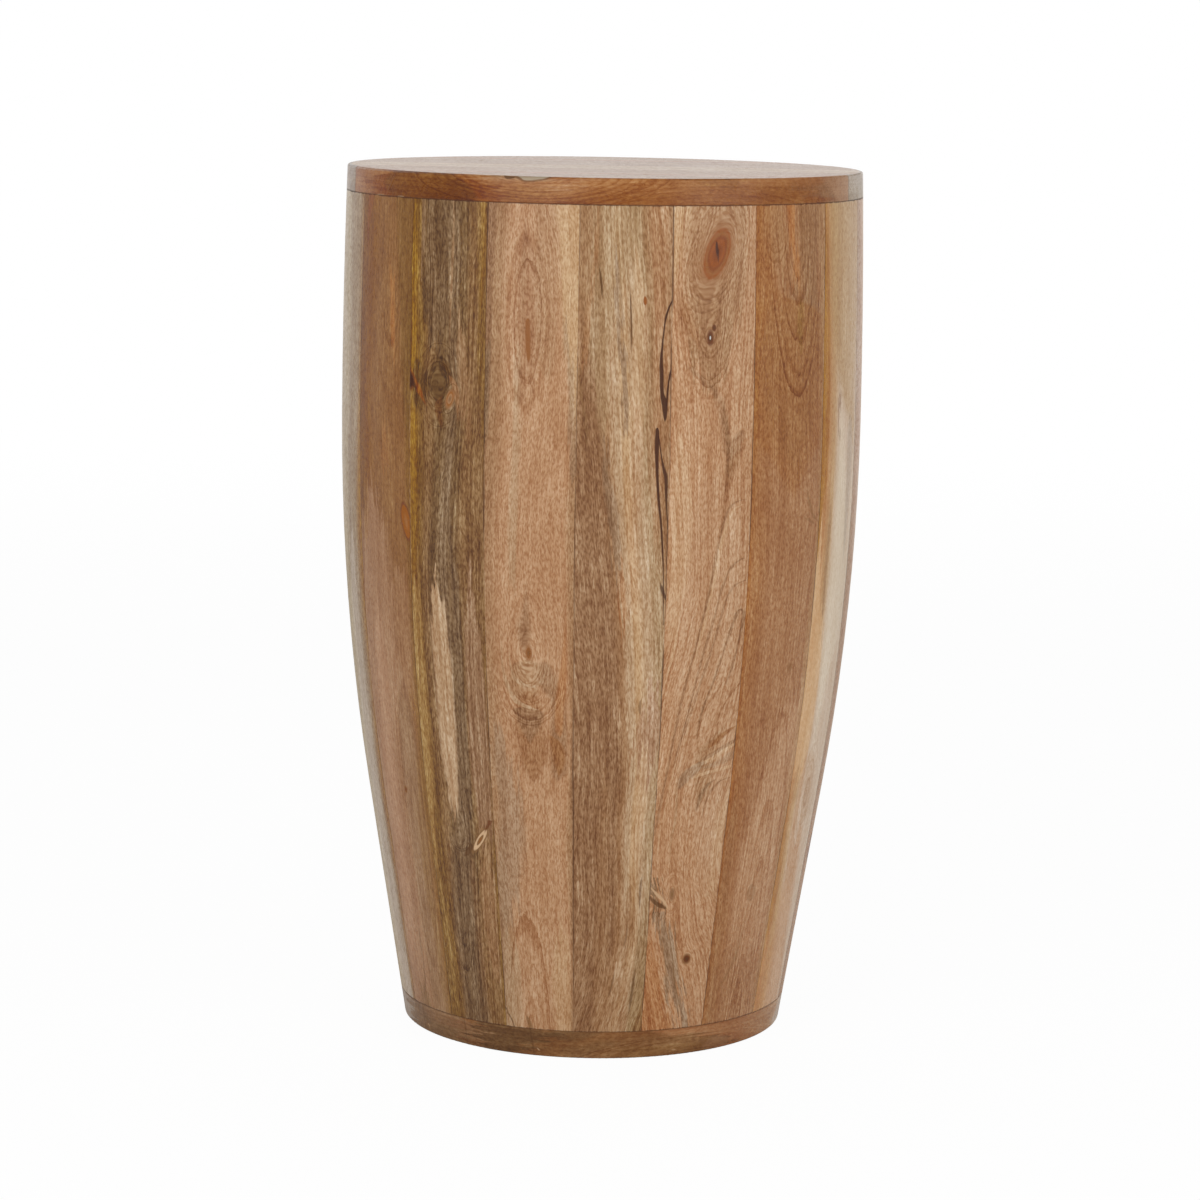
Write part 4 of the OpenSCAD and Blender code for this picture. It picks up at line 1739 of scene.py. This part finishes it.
# Mustard edge, then cream and ash.
STAVE_07 = Plank(
    seed=7.0, light_offset=(0.065, 0.78),
    stripes=((-30, T.STRAW), (-24, T.TAN), (-14, T.SAP), (-4, T.LINEN), (6, T.LINEN), (29, T.LINEN)),
    streaks=(
        vein(
            T.MUSTARD, 0.7, 3, (330, -30, 0), (360, -26, 7), (400, -25, 8), (440, -25, 8), (490, -26, 7),
            (544, -29, 5),
        ),
        patch(
            T.CHALK, 0.85, 12, (170, 0, 0), (230, 0, 12), (290, 8, 22), (340, 4, 17), (390, 0, 10),
            (430, -2, 0),
        ),
        patch(T.OAT, 0.85, 14, (350, 34, 0), (400, 22, 14), (430, 10, 22), (470, 6, 30), (544, 4, 34)),
        vein(T.TAN, 0.6, 10, (18, 0, 30), (60, 0, 22), (120, 0, 14), (160, 0, 0)),
        vein(T.TAN, 0.5, 4, (105, -10, 0), (135, -11, 5), (175, -11, 5), (200, -11, 0)),
        patch(T.CHALK, 0.6, 5, (60, 30, 0), (110, 28, 6), (330, 28, 7), (400, 28, 5), (440, 29, 0)),
        patch(T.DUSK, 0.45, 5, (300, 16, 0), (340, 16, 6), (390, 16, 8), (412, 14, 0)),
        vein(T.ASH, 0.6, 3, (240, -14, 0), (290, -14, 3), (330, -13, 3), (360, -12, 0)),
        vein(T.PALE, 0.8, 5, (170, -20, 0), (200, -18, 12), (250, -18, 12), (300, -24, 8), (345, -24, 0)),
        vein(T.UMBER, 0.6, 2, (402, -7, 0), (410, -5, 3), (420, -4, 0)),
        vein(T.FAWN, 0.4, 5, (140, 2, 0), (155, 2, 11), (175, 1, 11), (190, 0, 0)),
        vein(T.MUSTARD, 0.5, 4, (60, -27, 0), (100, -25, 7), (150, -26, 5), (180, -27, 0)),
    ),
    eyes=(Eye(162, 1, 28, 12, gap=3.2, reach=1.5, depth=0.4, part=0.4),),
    fleck=0.03,
)

# The ten staves from here on stand at the back: more of the same mixed lot.
STAVE_08 = Plank(
    seed=8.0,
    stripes=((-30, T.FAWN), (-14, T.TAN), (0, T.CREAM), (12, T.TAN), (29, T.FAWN)),
    eyes=(
        Eye(300, 4, 150, 16, gap=3.4, reach=1.2, depth=0.4),
        Eye(
            118, -9, 9, 5, 0.1,
            core=((0, T.BARK), (0.4, T.RED), (0.9, T.WINE), (1.3, T.RUSSET, 0)),
            gap=2.0, reach=3.0, start=1.0, depth=0.5, part=1.3,
        ),
    ),
)

STAVE_09 = Plank(
    seed=9.0,
    stripes=((-30, T.RUSSET), (-18, T.CHESTNUT), (-2, T.RUSSET), (14, T.BROWN), (29, T.UMBER)),
    drift=((18, 4), (200, -4), (380, 5), (544, -3)),
    eyes=(Eye(420, -6, 120, 17, gap=3.2, reach=1.2, depth=0.45),),
    curl=0.055,
)

STAVE_10 = Plank(
    seed=10.0,
    stripes=(
        (-30, T.CREAM), (-20, T.SAP), (-11, T.FAWN), (-4, T.BROWN), (10, T.BROWN), (20, T.UMBER),
        (29, T.BROWN),
    ),
    drift=((18, 9), (150, 3), (330, -4), (544, -10)),
    streaks=(
        vein(T.SMOKE, 0.7, 2.5, (60, 12, 0), (160, 8, 3), (300, 4, 4), (430, 1, 3), (500, 0, 0)),
        crack(T.BLACK, 0.9, 0.8, (150, -22, 0.2), (190, -20, 1.1), (240, -22, 0.8), (262, -25, 0.2)),
    ),
    fibre=0.08, fleck=0.075, lines=0.16,
)

STAVE_11 = Plank(
    seed=11.0,
    stripes=((-30, T.TAN), (-10, T.PINK), (8, T.TAN), (20, T.CREAM), (29, T.CREAM)),
    eyes=(
        Eye(200, -6, 190, 18, gap=3.8, reach=1.15, depth=0.4),
        Eye(
            470, 8, 7, 4,
            core=((0, T.BLACK), (0.5, T.BARK), (1.0, T.RED, 0.8), (1.6, T.RUSSET, 0)),
            gap=2.2, reach=3.6, start=1.0, depth=0.5, part=1.4,
        ),
    ),
)

STAVE_12 = Plank(
    seed=12.0,
    stripes=((-29, T.OLIVE), (-20, T.UMBER), (-6, T.SMOKE), (6, T.UMBER), (16, T.OLIVE), (29, T.MUSTARD)),
    streaks=(
        vein(T.MUSTARD, 0.8, 3, (40, 26, 0), (160, 25, 6), (340, 26, 7), (544, 27, 5)),
        vein(T.SAP, 0.8, 3, (300, -12, 0), (360, -10, 5), (440, -11, 6), (520, -10, 0)),
    ),
    eyes=(Eye(150, -4, 70, 13, gap=2.8, reach=1.4, depth=0.6),),
    fibre=0.09, fleck=0.08, lines=0.16,
)

STAVE_13 = Plank(
    seed=13.0,
    stripes=((-30, T.BROWN), (-12, T.RUSSET), (4, T.RUSSET), (18, T.ORANGE), (29, T.RUSSET)),
    eyes=(
        Eye(280, 2, 34, 14, gap=2.8, reach=2.2, depth=0.5, part=0.3),
        Eye(
            283, 3, 6, 3.4, 0.1,
            core=((0, T.WINE), (0.7, T.RED), (1.1, T.CHESTNUT, 0.7), (1.7, T.RUSSET, 0)),
            part=1.4,
        ),
    ),
    curl=0.05,
)

STAVE_14 = Plank(
    seed=14.0,
    stripes=((-30, T.SAP), (-16, T.CREAM), (-2, T.SAP), (12, T.FAWN), (29, T.TAN)),
    drift=((18, -6), (220, 2), (400, 6), (544, 2)),
    streaks=(
        vein(T.ASH, 0.7, 3, (120, 6, 0), (220, 8, 4), (360, 6, 5), (460, 8, 0)),
        crack(T.BARK, 0.75, 0.8, (330, -12, 0.2), (352, -11, 1.0), (380, -12, 0.2)),
    ),
    fleck=0.07,
)

STAVE_15 = Plank(
    seed=15.0,
    stripes=((-30, T.RUSSET), (-14, T.BROWN), (2, T.RUSSET), (16, T.BROWN), (29, T.CHESTNUT)),
    eyes=(Eye(60, 5, 260, 20, gap=4.2, reach=1.15, depth=0.42),),
)

STAVE_16 = Plank(
    seed=16.0,
    stripes=((-30, T.FAWN), (-20, T.TAN), (-4, T.PINK), (12, T.TAN), (24, T.FAWN), (29, T.BROWN)),
    drift=((18, 6), (160, 0), (300, -5), (544, 3)),
    eyes=(
        Eye(
            360, -8, 10, 6, -0.2,
            core=((0, T.BLACK), (0.25, T.RED), (0.8, T.CHESTNUT), (1.0, T.RED, 0.9), (1.5, T.RUSSET, 0)),
            gap=2.4, reach=3.2, start=1.0, depth=0.5, part=1.4,
        ),
        Eye(120, 6, 110, 15, gap=3.2, reach=1.2, depth=0.42),
    ),
)

STAVE_17 = Plank(
    seed=17.0,
    stripes=(
        (-30, T.UMBER), (-18, T.BROWN), (-8, T.FAWN), (2, T.CREAM), (14, T.SAP), (24, T.BROWN),
        (29, T.OLIVE),
    ),
    drift=((18, -8), (180, -2), (340, 5), (544, 9)),
    fibre=0.08, fleck=0.075, lines=0.16,
)

# Grey tan, painted with the strong reflection where it stands taken off and lightened for the weak light
# there.
STAVE_18 = Plank(
    seed=18.0, light_offset=(0.12, 0.7),
    stripes=((-30, T.LICHEN), (-6, T.LICHEN), (8, T.DUSK), (20, T.DUSK), (30, T.ASH)),
    streaks=(
        vein(T.DUSK, 0.45, 12, (270, 0, 0), (400, 0, 30), (544, 0, 34)),
        vein(T.PEARL, 0.55, 8, (18, 8, 20), (150, 4, 18), (280, 6, 14), (340, 8, 0)),
    ),
    eyes=(Eye(250, -4, 200, 18, gap=4.0, reach=1.2, depth=0.25),),
)

STAVES: tuple[Plank, ...] = (
    STAVE_01, STAVE_02, STAVE_03, STAVE_04, STAVE_05, STAVE_06,
    STAVE_07, STAVE_08, STAVE_09, STAVE_10, STAVE_11, STAVE_12,
    STAVE_13, STAVE_14, STAVE_15, STAVE_16, STAVE_17, STAVE_18,
)

# The three boards of the top.
TOP_FRONT = Plank(
    seed=21.0, light_offset=(0.021, 0.9),
    stripes=((-40, T.HONEY), (-14, T.FAWN), (0, T.HONEY), (14, T.ORANGE), (30, T.HONEY), (40, T.FAWN)),
    drift=((-170, 4), (-60, -3), (50, 3), (170, -4)),
    eyes=(Eye(-30, 4, 150, 15, gap=3.0, reach=1.4, depth=0.3, part=0.2),),
    fibre=0.05, fleck=0.05, wander=10.0,
)

TOP_MIDDLE = Plank(
    seed=22.0, light_offset=(0.021, 0.9),
    stripes=((-40, T.FAWN), (-20, T.SAP), (-4, T.OAT), (10, T.SAP), (26, T.FAWN), (40, T.HONEY)),
    drift=((-170, -5), (-40, 2), (60, 5), (170, -2)),
    streaks=(vein(T.ASH, 0.5, 4, (-120, -22, 0), (-20, -18, 4), (90, -20, 3), (150, -22, 0)),),
    eyes=(Eye(40, 2, 130, 14, gap=3.2, reach=1.5, depth=0.3, part=0.2),),
    fibre=0.05, fleck=0.05, wander=10.0,
)

TOP_BACK = Plank(
    seed=23.0, light_offset=(0.021, 0.9),
    stripes=((-40, T.FAWN), (-16, T.HONEY), (0, T.ORANGE), (16, T.HONEY), (40, T.FAWN)),
    drift=((-170, 3), (0, -4), (170, 4)),
    eyes=(
        Eye(
            70, -10, 9, 6, 0.1,
            core=((0, T.WINE), (0.5, T.RED), (1.0, T.CHESTNUT, 0.8), (1.6, T.RUSSET, 0)),
            gap=2.4, reach=3.0, start=1.0, depth=0.35, part=1.3,
        ),
        Eye(-60, 4, 110, 14, gap=3.0, reach=1.4, depth=0.3),
    ),
    fibre=0.05, fleck=0.05, wander=10.0,
)

# The front of the top's rim: darker at the left, with a pale chip over bowl-shaped rings. Its colours are
# painted darker than the board's face, to offset the stronger light on the rim.
TOP_RIM = Plank(
    seed=24.0, light_offset=(0.021, 1.09),
    stripes=((-9, T.CINNAMON), (0, T.CINNAMON), (9, T.SIENNA)),
    streaks=(
        vein(
            T.RUST, 0.9, 7, (-195, 0, 0), (-168, -1, 8), (-150, 0, 13), (-110, 0, 14), (-88, -2, 13),
            (-70, -6, 8), (-45, -9, 0),
        ),
        vein(T.FAWN, 0.8, 5, (-86, 8, 0), (-68, 8, 5), (-50, 8, 6), (-36, 8, 5), (-20, 9, 0)),
        vein(T.ORANGE, 0.35, 5, (-44, 3, 0), (-20, 4, 5), (10, 3, 7), (40, 4, 5), (62, 8, 0)),
        vein(T.TAN, 0.3, 1.6, (-46, -1, 0), (-30, 1, 1.4), (-16, 4, 1.4), (-2, 8, 1)),
        vein(T.TAN, 0.2, 1.6, (-30, -2, 0), (-14, 0, 1.2), (2, 3, 1.2), (18, 7, 1)),
        patch(T.LOAM, 0.4, 5, (-165, 0, 0), (-145, 0, 12), (-110, -1, 14), (-92, -3, 10), (-78, -6, 0)),
        patch(T.CHESTNUT, 0.5, 3, (-66, -4, 0), (-50, -3, 6), (-34, -1, 4), (-20, 0, 0)),
        patch(T.CINNAMON, 0.8, 4, (34, 5, 0), (48, 5, 8), (60, 5, 6), (70, 5, 0)),
        vein(T.ORANGE, 0.7, 6, (86, 7, 0), (110, 7, 5), (150, 8, 6), (180, 5, 10), (210, 5, 12)),
        patch(T.CHESTNUT, 0.9, 3, (54, 7, 0), (62, 7, 5), (76, 6, 6), (90, 4, 0)),
        vein(T.RUSSET, 0.7, 6, (118, 2, 0), (142, 4, 8), (165, 0, 12), (215, 0, 14)),
        vein(T.FAWN, 0.55, 6, (150, 0, 0), (180, 0, 12), (215, 0, 14)),
        patch(T.ORANGE, 0.7, 4, (126, 6, 0), (140, 6, 5), (152, 7, 5), (168, 5, 0)),
        patch(T.TAN, 0.65, 5, (152, 7, 0), (168, 5, 7), (184, 0, 13), (215, 0, 14)),
        patch(T.RUST, 0.5, 3, (136, -6, 0), (150, -6, 5), (164, -7, 0)),
        crack(
            T.BARK, 0.6, 1.0, (-58, 8, 0), (-53, 7, 1.8), (-48, 5.9, 2.2), (-41, 6.6, 2.2), (-31, 8.2, 0.3),
        ),
        crack(
            T.LICHEN, 0.9, 1.0, (-55, 8.2, 0), (-52, 7.6, 1.2), (-48, 6.6, 1.8), (-41, 7.4, 1.8),
            (-33, 8.2, 0.3),
        ),
        crack(T.BARK, 0.85, 0.8, (-64, 8.6, 0.2), (-60, 6.9, 1.4), (-56, 7.2, 0.9)),
        crack(T.BARK, 0.7, 0.8, (44, 8.2, 0.2), (50, 7.8, 0.7), (56, 8.2, 0.2)),
        crack(T.BARK, 0.7, 0.8, (74, 8.2, 0.2), (77.5, 7.8, 0.7), (81, 8.2, 0.2)),
        crack(T.SAP, 0.85, 0.6, (-172, -8, 0.2), (-166, -7.9, 0.7), (-160, -8, 0.2)),
        crack(T.SAP, 0.85, 0.6, (-148, -8, 0.2), (-143, -7.9, 0.6), (-139, -8, 0.2)),
    ),
    eyes=(
        Eye(-46, 13, 46, 13, gap=2.0, reach=2.2, start=0.4, depth=0.32),
        Eye(60, -22, 90, 22, gap=2.6, reach=1.4, depth=0.18),
    ),
    fibre=0.03, fleck=0.02, curl=0.05, cloud=0.08, lines=0.05, wander=6.0,
)

# The rim's left and right, in grey tones, painted with the strong reflection there taken off and lightened
# for the weaker light.
TOP_SIDES = Plank(
    seed=25.0, light_offset=(0.08, 0.85),
    stripes=((-9, T.LICHEN), (9, T.PEARL)),
    streaks=(
        vein(T.DUSK, 0.9, 6, (-330, 0, 14), (-225, 0, 14), (-190, 0, 13)),
        patch(T.SMOKE, 0.25, 6, (-260, 0, 0), (-225, 0, 14), (-190, 0, 14)),
        patch(T.DUSK, 0.6, 6, (190, 0, 14), (218, 0, 14), (250, 0, 0)),
    ),
    fibre=0.03, fleck=0.03, cloud=0.06, wander=6.0,
)

# The rim of the base, with its darker and its redder boards. Its colours are painted lighter than the
# boards' faces, to offset the weaker light on the rim.
BASE_RIM = Plank(
    seed=40.0, light_offset=(0.015, 0.87),
    stripes=((-10, T.TEAK), (0, T.TEAK), (10, T.COCOA)),
    streaks=(
        vein(T.EARTH, 0.85, 4, (-260, 0, 0), (-210, 0, 14), (-150, 0, 14), (-100, 0, 14), (-80, 0, 0)),
        vein(T.BROWN, 0.4, 3, (-96, 3, 0), (-88, 1, 6), (-80, 0, 7), (-74, 0, 0)),
        vein(
            T.LOAM, 0.85, 5, (-82, 0, 0), (-74, 0, 10), (-55, 0, 14), (-42, 2, 10), (-30, 6, 6), (-16, 8, 4),
            (0, 9, 0),
        ),
        vein(T.DUSK, 0.8, 6, (-280, 0, 0), (-230, 0, 14), (-170, 0, 14), (-152, 0, 0)),
        patch(T.BROWN, 0.35, 4, (-135, 6, 0), (-112, 5, 7), (-92, 5, 6), (-80, 6, 0)),
        patch(T.LOAM, 0.6, 4, (-30, 7, 0), (-14, 7, 6), (0, 8, 4), (10, 9, 0)),
        patch(T.LOAM, 0.3, 4, (-22, -5, 0), (-10, -5, 6), (6, 0, 5), (24, 2, 0)),
        vein(T.OLIVE, 0.2, 4, (10, -6, 0), (30, -6, 6), (60, -5, 6), (95, -8, 3), (110, -9, 0)),
        vein(
            T.RUSSET, 0.9, 4, (36, 9, 0), (52, 8, 3), (75, 6, 5), (100, 3, 9), (120, 0, 12), (210, 0, 12),
            (280, 0, 0),
        ),
        vein(T.FAWN, 0.6, 1.2, (62, 4, 0), (76, 3.5, 1), (92, 4, 0)),
        patch(T.RUSSET, 0.8, 3, (36, 9, 0), (46, 8, 3), (60, 7, 4), (74, 7, 0)),
        patch(T.BROWN, 0.6, 4, (74, -7, 0), (88, -5, 6), (104, -5, 0)),
        vein(T.FAWN, 0.6, 6, (112, 0, 0), (140, 0, 11), (220, 0, 14), (280, 0, 0)),
        vein(T.SAP, 0.6, 6, (145, 0, 0), (168, 0, 12), (200, 0, 14), (260, 0, 0)),
        patch(T.PEARL, 0.6, 5, (150, -6, 0), (162, -4, 6), (172, 0, 13), (190, 0, 13), (222, 0, 0)),
        crack(T.SAP, 0.75, 0.7, (-35.4, -3.6, 0.1), (-34, -4.6, 0.8), (-32.8, -5.4, 0.1)),
        crack(T.SAP, 0.5, 0.8, (53, -5.4, 0.2), (55, -5.4, 0.9), (57, -5.4, 0.2)),
        crack(T.SAP, 0.5, 0.8, (-128, -3.4, 0.2), (-126.5, -4, 1.2), (-125, -4.6, 0.2)),
    ),
    eyes=(Eye(70, -26, 80, 24, gap=2.4, reach=1.5, depth=0.22),),
    fibre=0.03, fleck=0.02, curl=0.05, cloud=0.09, lines=0.04, wander=6.0,
)

BASE_STRIPES: Stops = (
    (-40, T.UMBER), (-20, T.COCOA), (-8, T.UMBER), (0, T.COCOA), (8, T.UMBER), (20, T.BROWN), (40, T.UMBER),
)


# ---------------------------------------------------------------- assembly


def top_slab(frame: Mapping[str, object]) -> Slab:
    """Makes the top of three boards.


    Returns:
        The slab.
    """
    return Slab(
        frame,
        "top_wood",
        {
            "top_board_front": TOP_FRONT,
            "top_board_middle": TOP_MIDDLE,
            "top_board_back": TOP_BACK,
        },
        {"top_board_front": TOP_RIM, "top_board_middle": TOP_SIDES},
        turn=-2.3,
        joints=(-58.8, 58.8),
        radius_mm=166.6,
        flare_mm=-0.031,
        heart_mm=(75.0, 60.0),
    )


def base_slab(frame: Mapping[str, object]) -> Slab:
    """Makes the base of six boards.


    Returns:
        The slab.
    """
    boards = {
        f"base_board_{number}": Plank(seed=30.0 + number, stripes=BASE_STRIPES, wander=10.0)
        for number in range(1, 7)
    }
    return Slab(
        frame,
        "base_wood",
        boards,
        dict.fromkeys(boards, BASE_RIM),
        turn=35.0,
        joints=(98.6, 54.7, 10.8, -33.1, -77.0),
        radius_mm=125.9,
        flare_mm=0.161,
        heart_mm=(60.0, 50.0),
        under_wall=True,
        seat_cover=0.4,
    )


def main() -> None:
    """Builds the looks of every piece, then the studio round it."""
    logging.basicConfig(level=logging.INFO, format="%(message)s")
    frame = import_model()
    StaveRing(frame, STAVES).build()
    top_slab(frame).build()
    base_slab(frame).build()
    Inside(frame).build()
    Studio().build()


if __name__ == "__main__":
    main()
